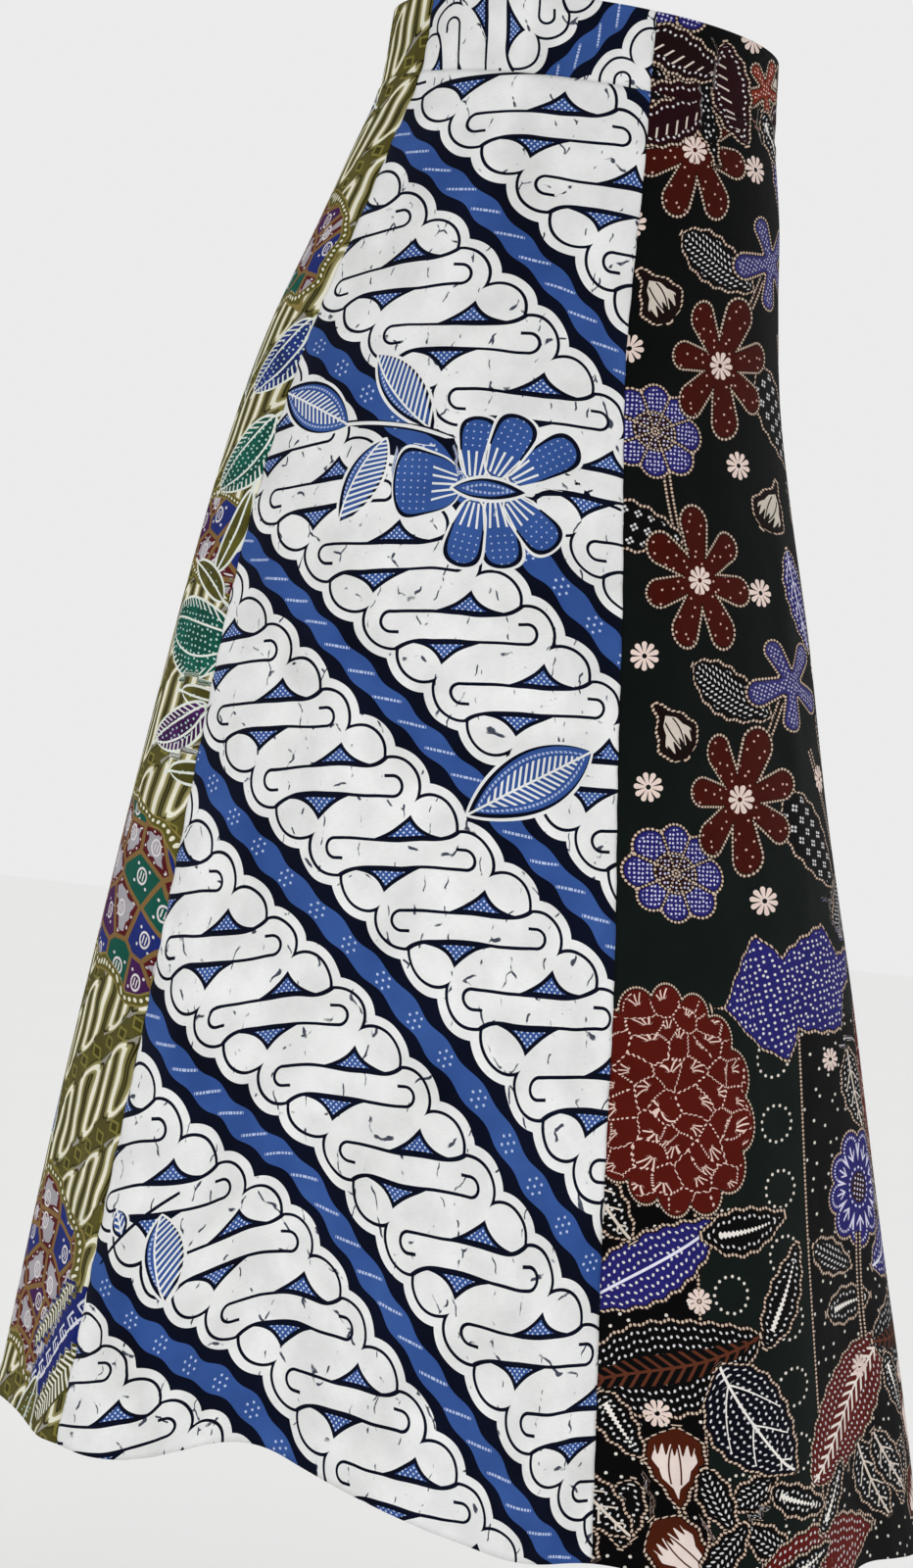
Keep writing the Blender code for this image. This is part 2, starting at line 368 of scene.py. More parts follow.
def skirt_points(angle, drop):
    """Points of the skirt's outer surface, as an array that ends in x, y, z."""
    angle, drop = np.broadcast_arrays(np.asarray(angle, float), np.asarray(drop, float))
    turn = np.radians(angle)
    front, back = between(SECTIONS, drop, "front"), between(SECTIONS, drop, "back")
    x = -between(SECTIONS, drop, "side") * np.sin(turn)
    y = -np.where(np.cos(turn) > 0, front, back) * np.cos(turn)
    swing = np.zeros_like(x)
    lift = np.zeros_like(x)
    for flute in FLUTES:
        off = np.abs(off_angle(angle, flute.angle)) / flute.half_width
        fall = np.maximum((drop - flute.top) / (GORE_LENGTH - flute.top), 0)
        share = np.where(off < 1, np.cos(off * pi / 2) ** 2, 0)
        share = share * fall * fall * (3 - 2 * np.minimum(fall, 1))
        swing += flute.swing * share
        lift += flute.lift * share
    widen = 1 + swing / np.hypot(x, y)
    length = drop * (1 + FRONT_SHARE * (1 + np.cos(turn)) / 2)
    z = -BAND_HEIGHT / 2 - length + lift + WAIST_TILT * y * widen
    return np.stack((x * widen, y * widen, z), axis=-1)


def skirt_normals(angle, drop):
    """The outward directions of the surface."""
    around = skirt_points(angle + ANGLE_STEP, drop) - skirt_points(angle - ANGLE_STEP, drop)
    down = skirt_points(angle, drop + DROP_STEP) - skirt_points(angle, drop - DROP_STEP)
    normal = np.cross(around, down)
    return normal / np.linalg.norm(normal, axis=-1, keepdims=True)


def seam_angle(name, drop):
    seam_side, column = name.split("_")
    angle = between(SEAMS, np.maximum(drop, 0), column)
    return angle if seam_side == "right" else 360 - angle


print("waist half width", round(float(-skirt_points(90.0, 0.0)[0]), 4), "m")

# %% [markdown]
# ## Creases
# Cotton that has been worn and sat in shows soft drag lines from the hips, a pressed line down a gore, and
# short crumples where the hem was bent. Each is one row of a table: its place, its lean, how long and wide
# it is, and how far it stands out. A crease that stands in is a trough.

# %% Crease table
Crease = namedtuple("Crease", "angle drop lean half_length half_width height")
CREASES = (
    Crease(84, 0.30, 2, 0.200, 0.0045, 0.0009),
    Crease(78, 0.20, -14, 0.110, 0.0100, -0.0013),
    Crease(70, 0.34, 8, 0.130, 0.0120, 0.0016),
    Crease(101, 0.24, 18, 0.120, 0.0110, 0.0014),
    Crease(112, 0.35, -10, 0.140, 0.0130, -0.0016),
    Crease(98, 0.52, 6, 0.160, 0.0140, 0.0018),
    Crease(66, 0.58, -5, 0.150, 0.0140, -0.0018),
    Crease(119, 0.700, 42, 0.055, 0.0060, -0.0022),
    Crease(116, 0.730, 58, 0.050, 0.0050, 0.0026),
    Crease(113, 0.752, 12, 0.030, 0.0045, -0.0020),
    Crease(109, 0.755, -24, 0.030, 0.0045, 0.0020),
    Crease(105, 0.758, 8, 0.026, 0.0050, -0.0016),
    Crease(44, 0.30, 4, 0.170, 0.0120, 0.0014),
    Crease(30, 0.45, -6, 0.190, 0.0140, -0.0018),
    Crease(12, 0.33, 5, 0.180, 0.0130, 0.0016),
    Crease(350, 0.50, -4, 0.180, 0.0150, -0.0018),
    Crease(330, 0.31, 6, 0.160, 0.0120, 0.0015),
    Crease(314, 0.60, -5, 0.140, 0.0130, -0.0016),
    Crease(290, 0.28, -8, 0.140, 0.0110, 0.0014),
    Crease(276, 0.44, 5, 0.170, 0.0140, -0.0018),
    Crease(262, 0.30, 3, 0.180, 0.0100, 0.0012),
    Crease(247, 0.60, -7, 0.130, 0.0130, 0.0018),
    Crease(222, 0.30, 9, 0.140, 0.0130, -0.0015),
    Crease(205, 0.50, -4, 0.180, 0.0150, 0.0018),
    Crease(186, 0.22, 22, 0.090, 0.0100, -0.0016),
    Crease(174, 0.25, -20, 0.090, 0.0100, -0.0015),
    Crease(168, 0.50, 6, 0.180, 0.0150, 0.0018),
    Crease(150, 0.32, -9, 0.150, 0.0120, 0.0014),
    Crease(138, 0.56, 5, 0.150, 0.0130, -0.0016),
)
PUCKER_LENGTH = 0.021
PUCKER_HEIGHT = 0.00035
PUCKER_REACH = 0.012
PUCKER_SWAY = 37
PUCKER_SHIFT = 2
SEAM_DIP = 0.0007
SEAM_DIP_REACH = 0.0022
HEM_FOLD = 0.014
HEM_STAND = 0.0005
HEM_EDGE = 0.003


def relief(angle, drop, seam_distance):
    """How far the cloth stands out from the smooth form, in metres."""
    radius = np.hypot(*np.moveaxis(skirt_points(angle, drop), -1, 0)[:2])
    height = np.zeros_like(radius)
    for crease in CREASES:
        across = np.radians(off_angle(angle, crease.angle)) * radius
        down = drop - crease.drop
        lean = radians(crease.lean)
        off = across * cos(lean) - down * sin(lean)
        along = (across * sin(lean) + down * cos(lean)) / crease.half_length
        fade = np.where(np.abs(along) < 1, (1 - along**2) ** 2, 0)
        height += crease.height * fade * np.exp(-((off / crease.half_width) ** 2))
    ripple = np.sin(2 * pi * drop / PUCKER_LENGTH + np.sin(drop * PUCKER_SWAY) * PUCKER_SHIFT)
    height += PUCKER_HEIGHT * ripple * np.exp(-((seam_distance / PUCKER_REACH) ** 2))
    height -= SEAM_DIP * np.exp(-((seam_distance / SEAM_DIP_REACH) ** 2))
    inside_hem = np.clip((drop - GORE_LENGTH + HEM_FOLD) / HEM_EDGE, 0, 1)
    return height + HEM_STAND * inside_hem * inside_hem * (3 - 2 * inside_hem)


print(len(CREASES), "creases")

# %% [markdown]
# ## Flat cut
# A gore is cut as a flared shape whose rows are arcs. Developing the worn surface back to that shape gives
# the flat size of each sheet and a map in real metres: u runs towards the photograph's right, v downwards.
# The prints are laid on this map, so they lie on the cloth as they did before it was sewn.

# %% Develop a panel
FLARE_SMOOTHING = 31


def develop(points, arcs):
    """Flat coordinates of a grid of points whose rows run round the skirt, u reversed to face outwards."""
    steps = np.linalg.norm(np.diff(points, axis=1), axis=2)
    rows, columns = points.shape[:2]
    widths = steps.sum(axis=1)
    across = np.concatenate((np.zeros((rows, 1)), np.cumsum(steps, axis=1)), axis=1) - widths[:, None] / 2
    middle = points[:, columns // 2]
    down = np.concatenate(((0,), np.cumsum(np.linalg.norm(np.diff(middle, axis=0), axis=1))))
    if not arcs:
        return np.stack((-across, down[:, None] + 0 * across), axis=-1), widths, down[-1]
    flare = np.gradient(widths / 2, down)
    padded = np.pad(flare, FLARE_SMOOTHING // 2, mode="edge")
    flare = np.convolve(padded, np.ones(FLARE_SMOOTHING) / FLARE_SMOOTHING, "valid")
    radius = (widths / 2 / flare)[:, None]
    turn = across / radius
    flat = np.stack((-radius * np.sin(turn), down[:, None] - radius * (1 - np.cos(turn))), axis=-1)
    return flat, widths, down[-1]


# %% [markdown]
# ## Cloth panels
# Each panel is a fine grid laid on the form, moved out or in by its creases and given a thin wall by
# Solidify. Neighbouring panels share their seam line, where both dip a little, as a pressed seam does.

# %% Panel builder
Panel = namedtuple("Panel", "name first second top bottom columns rows cloth")
PANELS = (
    Panel("gore_front", "left_front", "right_front", 0.0, GORE_LENGTH, 150, 200, GORE_CLOTH),
    Panel("gore_right", "right_front", "right_back", 0.0, GORE_LENGTH, 120, 220, GORE_CLOTH),
    Panel("gore_back", "right_back", "left_back", 0.0, GORE_LENGTH, 150, 200, GORE_CLOTH),
    Panel("gore_left", "left_back", "left_front", 0.0, GORE_LENGTH, 110, 200, GORE_CLOTH),
    Panel("band_front", "left_front", "right_front", -BAND_HEIGHT, 0.0, 110, 20, BAND_CLOTH),
    Panel("band_right", "right_front", "right_back", -BAND_HEIGHT, 0.0, 70, 20, BAND_CLOTH),
    Panel("band_back", "right_back", "left_back", -BAND_HEIGHT, 0.0, 110, 20, BAND_CLOTH),
    Panel("band_left", "left_back", "left_front", -BAND_HEIGHT, 0.0, 70, 20, BAND_CLOTH),
)


def panel_grid(panel, rows, columns):
    """Angles and drops of a grid over a panel."""
    drop = np.linspace(panel.top, panel.bottom, rows + 1)[:, None]
    share = np.linspace(0, 1, columns + 1)[None, :]
    start, end = seam_angle(panel.first, drop), seam_angle(panel.second, drop)
    return start + (end - start) % 360 * share, drop + 0 * share


def sew_panel(panel):
    """The panel's object, its flat coordinates for each vertex, its flat size and its area."""
    angle, drop = panel_grid(panel, panel.rows, panel.columns)
    smooth = skirt_points(angle, drop)
    flat, widths, length = develop(smooth, panel.top == 0)
    edge = np.linalg.norm(smooth - smooth[:, :1], axis=-1), np.linalg.norm(smooth - smooth[:, -1:], axis=-1)
    seam_distance = np.minimum(*edge)
    band_distance = drop if panel.top == 0 else -drop
    height = relief(angle, drop, np.minimum(seam_distance, np.abs(band_distance)))
    places = smooth + skirt_normals(angle, drop) * height[..., None]

    form = bmesh.new()
    bmesh.ops.create_grid(form, x_segments=panel.columns, y_segments=panel.rows, size=0.5)
    order = np.empty(len(form.verts), int)
    for vertex in form.verts:
        column = round((vertex.co.x + 0.5) * panel.columns)
        row = round((0.5 - vertex.co.y) * panel.rows)
        order[vertex.index] = row * (panel.columns + 1) + column
        vertex.co = places[row, column]
    form.normal_update()
    form.faces.ensure_lookup_table()
    if form.faces[0].normal.dot(form.faces[0].calc_center_median() * Vector((1, 1, 0))) < 0:
        bmesh.ops.reverse_faces(form, faces=form.faces)
    mesh = bpy.data.meshes.new(panel.name + "_cloth")
    form.to_mesh(mesh)
    area = sum(face.calc_area() for face in form.faces)
    form.free()
    mesh.shade_smooth()
    body = bpy.data.objects.new(panel.name + "_cloth", mesh)
    bpy.context.scene.collection.objects.link(body)
    wall = body.modifiers.new("wall", "SOLIDIFY")
    wall.thickness = panel.cloth
    wall.offset = -1
    return body, flat.reshape(-1, 2)[order], (float(widths.max()), float(length)), area


def lay_map(body, name, values):
    """A UV map from one pair of values for each vertex."""
    layer = body.data.uv_layers.new(name=name)
    corners = np.empty(len(body.data.loops), int)
    body.data.loops.foreach_get("vertex_index", corners)
    layer.uv.foreach_set("vector", np.ascontiguousarray(values[corners], dtype=np.float32).ravel())


cloths = {}
flats = {}
for panel in PANELS:
    body, flat, size, area = sew_panel(panel)
    lay_map(body, "cut", flat)
    cloths[panel.name] = body
    flats[panel.name] = flat * 1000
    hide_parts(panel.name)
    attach(body, "skirt")
    print(body.name, "flat %.3f x %.3f m" % size, "area %.3f m2" % area)

# %% [markdown]
# ## Stamped motifs
# Flowers and leaves are drawn one by one on the cloth with a spouted pen. Here each is a row of a table: its
# kind, its middle on the flat cut, its turn and its half sizes. The nearest one's own coordinates are
# stored at each vertex, so that the shader can draw it sharply with few nodes. Motifs that touch lie in
# different layers, and the third number is 1 at the end of a motif's room, which masks what is between two.

# %% Press motifs on a cloth
Motif = namedtuple("Motif", "kind u v turn length width fill mark", defaults=("#000000", "#FFFFFF"))
SHEETS = ("place", "make", "fill", "mark")
# A motif's room is an oval with square shoulders: the higher this power, the squarer
ROOM_POWER = 4


def press(body, flat, layer, motifs, shift=(0, 0), margin=0):
    """Stores at each vertex the nearest motif's coordinates in mm, half sizes, kind and two dyes."""
    nearest = np.full(len(flat), np.inf)
    values = np.ones((len(SHEETS), len(flat), 3))
    for motif in motifs:
        turn = radians(motif.turn)
        du, dv = flat[:, 0] - motif.u - shift[0], flat[:, 1] - motif.v - shift[1]
        x, y = du * cos(turn) + dv * sin(turn), dv * cos(turn) - du * sin(turn)
        ahead, aside = x / (motif.length + margin), y / (motif.width + margin)
        room = (ahead**ROOM_POWER + aside**ROOM_POWER) ** (1 / ROOM_POWER)
        closer = room < nearest
        nearest[closer] = room[closer]
        values[0, closer] = np.stack((x, y, room), axis=1)[closer]
        values[1, closer] = (motif.length, motif.width, motif.kind)
        values[2, closer], values[3, closer] = dye(motif.fill)[:3], dye(motif.mark)[:3]
    for sheet, rows in zip(SHEETS, values):
        attribute = body.data.attributes.new(layer + "_" + sheet, "FLOAT_VECTOR", "POINT")
        attribute.data.foreach_set("vector", np.ascontiguousarray(rows, np.float32).ravel())


def stamped(tree, known, layer):
    """Nodes that read a layer of motifs: the place in the motif, what it is, and its dyes."""
    for sheet in SHEETS:
        name = layer + "_" + sheet
        known[name] = add_node(tree, "Attribute", attribute_name=name).outputs["Vector"]


# %% [markdown]
# ## Printed cotton
# Plain-woven cotton is matt with a faint sheen from its fibres. Threads lie about 0.3 mm apart, too fine to
# show, so the weave is drawn at 0.7 mm. The dye takes unevenly, and a soft unevenness stands in for the
# small dents of worn cloth. Towards the waist the cloth is painted a little darker, as painted shade.

# %% Cotton base
THREAD = 0.7
WEAVE_HEIGHT = 0.00006
DENT_HEIGHT = 0.0011
# Painted shade at the waist: how far down it reaches in mm, and the share of the tone left at the waist
WAIST_SHADE_REACH = 420
WAIST_SHADE_TONE = 0.905


def cotton(tree, known):
    """Finishes a cloth's material from its printed tone."""
    reckon(
        tree,
        known,
        (
            ("mm", "VectorMath", "SCALE", "CUT", 1000.0),
            ("dull", "TexNoise", "2D", "mm", 0.035, 3.0),
            ("dull", "MapRange", {}, "dull", 0.3, 0.7, 0.90, 1.05),
            ("slub", "VectorMath", "MULTIPLY", "mm", (0.25, 2.2, 0)),
            ("slub", "TexNoise", "2D", "slub", 1.0, 2.0),
            ("slub", "MapRange", {}, "slub", 0.3, 0.7, 0.965, 1.03),
            "dull = dull * slub",
            ("cut_u cut_v cut_w", "SeparateXYZ", {}, "mm"),
            # Painted shade: the tone is darkened towards the waist and fades out lower down
            ("handled", "MapRange", {}, "cut_v", 0.0, WAIST_SHADE_REACH, WAIST_SHADE_TONE, 1.0),
            "dull = dull * handled",
            ("tone", "VectorMath", "SCALE", "tone", "dull"),
            ("warp", "VectorMath", "MULTIPLY", "mm", (2 * pi / THREAD, 0, 0)),
            ("warp", "VectorMath", "SINE", "warp"),
            ("warp", "VectorMath", "DOT_PRODUCT", "warp", (1, 0, 0)),
            ("weft", "VectorMath", "MULTIPLY", "mm", (0, 2 * pi / THREAD, 0)),
            ("weft", "VectorMath", "SINE", "weft"),
            ("weft", "VectorMath", "DOT_PRODUCT", "weft", (0, 1, 0)),
            "weave = warp * weft",
            ("dent", "TexNoise", "2D", "mm", 0.022, 3.0, 0.55),
            f"dent = dent * {DENT_HEIGHT}",
            f"height = weave * {WEAVE_HEIGHT} + dent",
            ("bump", "Bump", {}, 1.0, 1.0, 0.1, "height"),
            ("rough", "MapRange", {}, "dull", 0.9, 1.1, 0.86, 0.78),
        ),
    )
    shader = tree.nodes["Principled BSDF"]
    tree.links.new(known["tone"], shader.inputs["Base Color"])
    tree.links.new(known["bump"], shader.inputs["Normal"])
    tree.links.new(known["rough"], shader.inputs["Roughness"])
    shader.inputs["Specular IOR Level"].default_value = 0.05
    shader.inputs["Sheen Weight"].default_value = 0.008
    shader.inputs["Sheen Roughness"].default_value = 0.5


def new_cloth(name):
    """An empty material that reads the flat cut and the print map."""
    cloth = bpy.data.materials.new(name)
    cloth.use_nodes = True
    tree = cloth.node_tree
    known = {
        "CUT": add_node(tree, "UVMap", uv_map="cut").outputs[0],
        "PRINT": add_node(tree, "UVMap", uv_map="print").outputs[0],
    }
    return cloth, tree, known


# %% [markdown]
# ## Parang cloth
# Parang is a traditional diagonal pattern: rows of S-shaped hooks between stripes. Hot wax keeps the cotton
# white, indigo dyes the rest, and fine cracks in the wax let in hairlines of dye. The half figure, a long
# stroke that ends in a hook and a small three-sided wedge, is drawn once and used twice, turned about.

# %% The hook and its wedge
LINE = 0.85
HOOK_X, HOOK_Y, HOOK_RADIUS = 27.3, -24.3, 5.2
HOOK = group(
    "parang hook",
    "PLACE",
    "ink wedge",
    (
        ("x", "VectorMath", "DOT_PRODUCT", "PLACE", (1, 0, 0)),
        ("y", "VectorMath", "DOT_PRODUCT", "PLACE", (0, 1, 0)),
        # The stroke runs down and to the left and bends at its lower end
        "bend = y - 17.0 | maximum 0.0",
        "bend = bend * bend",
        "off = x + y | - 10.4",
        "off = bend * -0.029 + off",
        f"stroke = off * 0.72 | absolute | - {LINE}",
        "end = -20.6 - y",
        "stroke = maximum stroke end",
        "end = y - 33.5",
        "stroke = maximum stroke end",
        # The hook turns back from the stroke's upper end
        ("from", "VectorMath", "SUBTRACT", "PLACE", (HOOK_X, HOOK_Y, 0)),
        ("along", "VectorMath", "DOT_PRODUCT", "from", (-0.7071, 0.7071, 0)),
        "past = maximum along 0.0",
        ("past", "VectorMath", "SCALE", (-0.7071, 0.7071, 0), "past"),
        ("from", "VectorMath", "SUBTRACT", "from", "past"),
        ("ring", "VectorMath", "LENGTH", "from"),
        f"ring = ring - {HOOK_RADIUS} | absolute | - {LINE}",
        "tail = along - 4.5",
        "ring = maximum ring tail",
        "ink = minimum stroke ring",
        # The wedge leans on the stroke, between two hollow curves
        "near = off * -0.7",
        "hollow = 20.5 - y",
        "hollow = hollow * hollow",
        "far = x - 8.7",
        "far = hollow * -0.010 + far",
        "hollow = x - 1.5",
        "hollow = hollow * hollow",
        "foot = y - 18.8",
        "foot = hollow * -0.032 + foot",
        "wedge = maximum near far | maximum foot",
        "end = -3.0 - y",
        "wedge = maximum wedge end",
        "end = y - 30.0",
        "wedge = maximum wedge end",
    ),
)

# %% The bands and stripes of parang
BAND_PERIOD = 112.5
FIGURE_PERIOD = 53.0
FIGURE_SLIP = 6.12
FIGURE_START = 15.5
FIGURE_FROM = -17.5
LOBES_FROM = -11.75
LOBE_RADIUS = 15.0
# Far enough from 0 for a lattice or a step to have no mirrored cells on the cloth
LATTICE_SHIFT = 500
PARANG = group(
    "parang bands",
    "PRINT",
    "ink outline navy blue wedge core x y e band level",
    (
        ("grain waver", "TexNoise", "2D", "PRINT", 0.022, 1.5),
        ("waver", "VectorMath", "SUBTRACT", "waver", (0.5, 0.5, 0.5)),
        ("hand", "VectorMath", "MULTIPLY_ADD", "waver", (5.0, 5.0, 0), "PRINT"),
        ("x", "VectorMath", "DOT_PRODUCT", "hand", (1, 0, 0)),
        ("y", "VectorMath", "DOT_PRODUCT", "hand", (0, 1 / BAND_PERIOD, 0)),
        "band = floor y",
        f"y = y - band | * {BAND_PERIOD} + {-BAND_PERIOD / 2}",
        f"level = x + {LATTICE_SHIFT}",
        f"x = band * {-FIGURE_SLIP} + x | + {FIGURE_START}",
        f"xa = wrap x {FIGURE_PERIOD + FIGURE_FROM} {FIGURE_FROM}",
        ("place", "CombineXYZ", {}, "xa", "y"),
        ("ink wedge", "Group", HOOK, "place"),
        f"xb = x * -1.0 | wrap {FIGURE_PERIOD + FIGURE_FROM} {FIGURE_FROM}",
        "yb = y * -1.0",
        ("place", "CombineXYZ", {}, "xb", "yb"),
        ("ink_b wedge_b", "Group", HOOK, "place"),
        "ink = minimum ink ink_b",
        "wedge = minimum wedge wedge_b",
        # The band's scalloped edge: two round lobes to each figure
        "flip = sign y",
        f"xe = x * flip | * -1.0 | wrap {FIGURE_PERIOD + LOBES_FROM} {LOBES_FROM}",
        "far = absolute y",
        "ye = far * -1.0",
        ("place", "CombineXYZ", {}, "xe", "ye"),
        ("lobe_a", "VectorMath", "DISTANCE", "place", (2.2, -24, 0)),
        ("lobe_b", "VectorMath", "DISTANCE", "place", (HOOK_X, -24, 0)),
        f"edge = minimum lobe_a lobe_b | - {LOBE_RADIUS}",
        "straight = far - 26.0",
        "edge = minimum edge straight",
        "ink = maximum ink edge",
        f"outline = absolute edge | < {LINE}",
        "ink = ink < 0.0",
        "navy = edge > 5.6",
        # The blue stripe wavers along its middle
        f"e = {BAND_PERIOD / 2} - far",
        f"wave = level * {2 * pi / 27} | sine | * 1.1 + 6.4",
        "blue = e < wave",
        "core = wedge < -2.1",
        "wedge = wedge < 0.0",
        # Side of the stripe, so that its dashes read straight across it
        "e = e * flip | * -1.0",
    ),
)

# %% Dashes, dots and wax cracks
DOTS = group(
    "dots in rows",
    "PLACE pitch size",
    "dots",
    (
        "big = 1.0 / pitch",
        ("cell", "VectorMath", "SCALE", "PLACE", "big"),
        ("cell", "VectorMath", "FRACTION", "cell"),
        ("cell", "VectorMath", "MULTIPLY", "cell", (1, 1, 0)),
        ("far", "VectorMath", "DISTANCE", "cell", (0.5, 0.5, 0)),
        "dots = far * pitch | < size",
    ),
)
DASHES = group(
    "dashes and dot rings",
    "x e stripe",
    "marks",
    (
        # A dash of dots lies level in the cloth, once in 19.5 mm
        "a = wrap x 9.75 -9.75",
        "p = a * 0.81",
        "p = e * -0.58 + p | absolute",
        "q = a * 0.58",
        "q = e * 0.81 + q | absolute",
        "step = modulo p 1.9 | < 1.3",
        "q = q < 0.72",
        "p = p < 8.0",
        "dash = step * q | * p",
        # A ring of six dots, once in 25 mm
        "a = wrap x 12.5 -12.5",
        "r = hypot a e",
        f"turn = arctan2 e a | wrap {pi / 6} {-pi / 6}",
        "p = cosine turn | * r",
        "q = sine turn | * r",
        ("spot", "CombineXYZ", {}, "p", "q"),
        ("spot", "VectorMath", "DISTANCE", "spot", (4.0, 0, 0)),
        "spot = minimum spot r | < 0.75",
        "odd = stripe * 0.5 | fract | > 0.25",
        "marks = mix odd dash spot",
    ),
)
# A Voronoi texture parts the cloth into cells, and can tell how far each point is from its cell's edge
CELL_EDGES = {"voronoi_dimensions": "2D", "feature": "DISTANCE_TO_EDGE"}
CRACKS = group(
    "cracks in the wax",
    "CUT",
    "cracks",
    (
        ("grain bend", "TexNoise", "2D", "CUT", 60.0, 2.0),
        ("bent", "VectorMath", "MULTIPLY_ADD", "bend", (0.012, 0.012, 0), "CUT"),
        ("bent", "VectorMath", "MULTIPLY", "bent", (1.5, 0.7, 0)),
        ("edge", "TexVoronoi", CELL_EDGES, "bent", 36.0),
        ("where", "TexNoise", "2D", "CUT", 110.0, 2.0),
        ("where", "MapRange", {}, "where", 0.53, 0.62, 0.0, 0.95),
        # Where the wax broke most, the cracks are widest
        "wide = where * 0.016 + 0.009",
        "cracks = edge < wide | * where",
    ),
)
print("groups", [made.name for made in bpy.data.node_groups])

# %% [markdown]
# ## Blue flower and leaves
# Over the parang lie blue flowers with fine-dotted petals and feathered leaves, kept apart from it by a white
# wax line. A petal is rounded at its tip, a leaf is pointed at both ends, and a stem is a bowed double line.

# %% Petals, leaves and stems
VEINED_ONE_SIDE, VEINED, PETAL, LENS, STEM, TWIG = range(6)
BLUE_MOTIF = group(
    "blue motif",
    "PLACE MAKE",
    "body white dark pale",
    (
        ("x y room", "SeparateXYZ", {}, "PLACE"),
        ("length width kind", "SeparateXYZ", {}, "MAKE"),
        "a = x / length",
        "side = absolute y",
        "aa = a * a",
        # A leaf: distance inside its edge, in mm
        "leaf = 1.0 - aa | maximum 0.0 | power 0.85",
        "lean = a * -0.12 + 1.0",
        "leaf = leaf * lean | * width",
        "both = kind > 0.5",
        "off_mid = both * 0.42 + -0.42",
        "off_mid = leaf * off_mid + y",
        "mid_side = absolute off_mid",
        "leaf = leaf - side | * 0.9",
        # A petal, rounder towards its tip
        "fat = a * 0.28 + 0.86 | * width",
        "b = y / fat",
        "b = b * b",
        "petal = aa * aa + b | sqrt",
        "petal = 1.0 - petal | * width",
        # A stem, bowed by its width
        "bow = 1.0 - aa | * width + y",
        "bow = width * -0.5 + bow | absolute",
        "stem = kind > 4.5 | * -1.3 + 2.2 | - bow",
        # Choose by kind
        f"is_petal = compare kind {PETAL} 0.4",
        "is_stem = kind > 3.5",
        "edge = mix is_petal leaf petal",
        "edge = mix is_stem edge stem",
        "in_room = room < 1.0",
        "body = edge > 0.0 | * in_room",
        "rim = edge < 1.6",
        # Dots over a petal, and along a leaf's edge
        ("lattice", "VectorMath", "ADD", "PLACE", (LATTICE_SHIFT, LATTICE_SHIFT, 0)),
        ("dots", "Group", DOTS, "lattice", 3.9, 0.5),
        f"row = compare kind {LENS} 0.4 | * -0.33 + -0.31",
        "row = width * row + edge | absolute | < 0.6",
        "bead = pingpong x 1.2 | < 0.72 | * row",
        # Veins slant forward from the midrib
        "vein = mid_side * 0.8 + x | pingpong 1.9 | < 0.78",
        "inside = both * 0.37 + 0.05",
        "inside = width * inside",
        "inside = edge > inside",
        "vein = vein * inside",
        "half = off_mid < 0.0",
        "bare = 1.0 - half | maximum both",
        "bead = bead * bare",
        "bare = 1.0 - is_petal",
        "bead = bead * bare",
        "half = maximum half both",
        "vein = vein * half",
        "plain = kind < 1.5",
        "vein = vein * plain",
        "rib = mid_side < 0.6 | * plain",
        "vein = maximum vein rib",
        # Stamens fan out from a petal's foot
        "foot = x + length",
        "far = foot + 14.0",
        "fan = y / far",
        "thread = pingpong fan 0.075 | * far | < 0.62",
        "fan = absolute fan | < 0.32",
        "thread = thread * fan",
        "short = compare foot 10.0 7.0",
        "thread = thread * short",
        "out = foot > 18.5",
        "pale = dots * out | * is_petal | maximum bead",
        "white = mix is_petal vein thread | maximum rim",
        # The dark line inside the white rim is thicker towards the tip
        "thick = a * 1.1 + 3.1",
        "dark = edge < thick",
        "middle = stem > 1.2",
        "white = mix is_stem white middle",
        "dark = mix is_stem dark 1.0",
    ),
)
WHITE_LAYERS = {
    "leaves": (
        Motif(PETAL, 28.6, 220.6, -95, 19.0, 12.8),
        Motif(PETAL, 65.4, 220.1, -42, 23.5, 12.8),
        Motif(PETAL, 4.3, 244.7, 174, 20.0, 22.0),
        Motif(PETAL, 48.4, 265.3, 73, 20.5, 13.2),
        Motif(VEINED_ONE_SIDE, -18.5, 194.4, 43, 31.5, 13.0),
        Motif(VEINED_ONE_SIDE, -34.7, 247.8, 112, 28.5, 13.0),
        Motif(VEINED, -80.4, 202.4, -157, 33.0, 16.0),
        Motif(VEINED, 81.3, 396.0, 143, 41.0, 17.5),
        Motif(VEINED_ONE_SIDE, -103.3, 663.3, 82, 24.0, 13.0),
        Motif(VEINED, -134.8, 646.1, 60, 8.5, 8.0),
    ),
    "petals": (
        Motif(PETAL, 44.9, 216.4, -74, 20.5, 13.4),
        Motif(PETAL, 30.9, 268.6, 95, 20.5, 12.6),
        Motif(PETAL, 64.4, 255.5, 36, 19.5, 13.0),
    ),
    "middle": (
        Motif(LENS, 39.2, 242.2, -8, 22.0, 7.5),
        Motif(STEM, -18.9, 215.3, 3, 35.1, 3.0),
        Motif(TWIG, 88.2, 235.2, -7, 25.5, 3.0),
        Motif(TWIG, 120.9, 371.5, -26, 8.7, 1.0),
        Motif(TWIG, -123.3, 647.2, -37, 32.7, 4.0),
        Motif(TWIG, 84.1, 225.9, 26, 8.6, 1.0),
    ),
}
LEFT_SHIFT = (30, 120)
# The band's pieces carry no flowers, so theirs are moved off the cloth
OFF_THE_CLOTH = (0, 2000)
print(sum(len(motifs) for motifs in WHITE_LAYERS.values()), "motifs on each white gore")

# %% Print map of the white cloth
STRIPE_FIT = (-0.610943, -0.00480718, 0.00712729, 1.5783e-7, -1.06844e-6)
FIGURE_FIT = (0.01867, 0.0166782, 3.874e-6)
FIGURE_TURN = radians(36.5)
BAND_FIGURE_TURN = radians(-50)
BAND_STRIPE_TURN = radians(38)
BAND_SCALE = 0.85


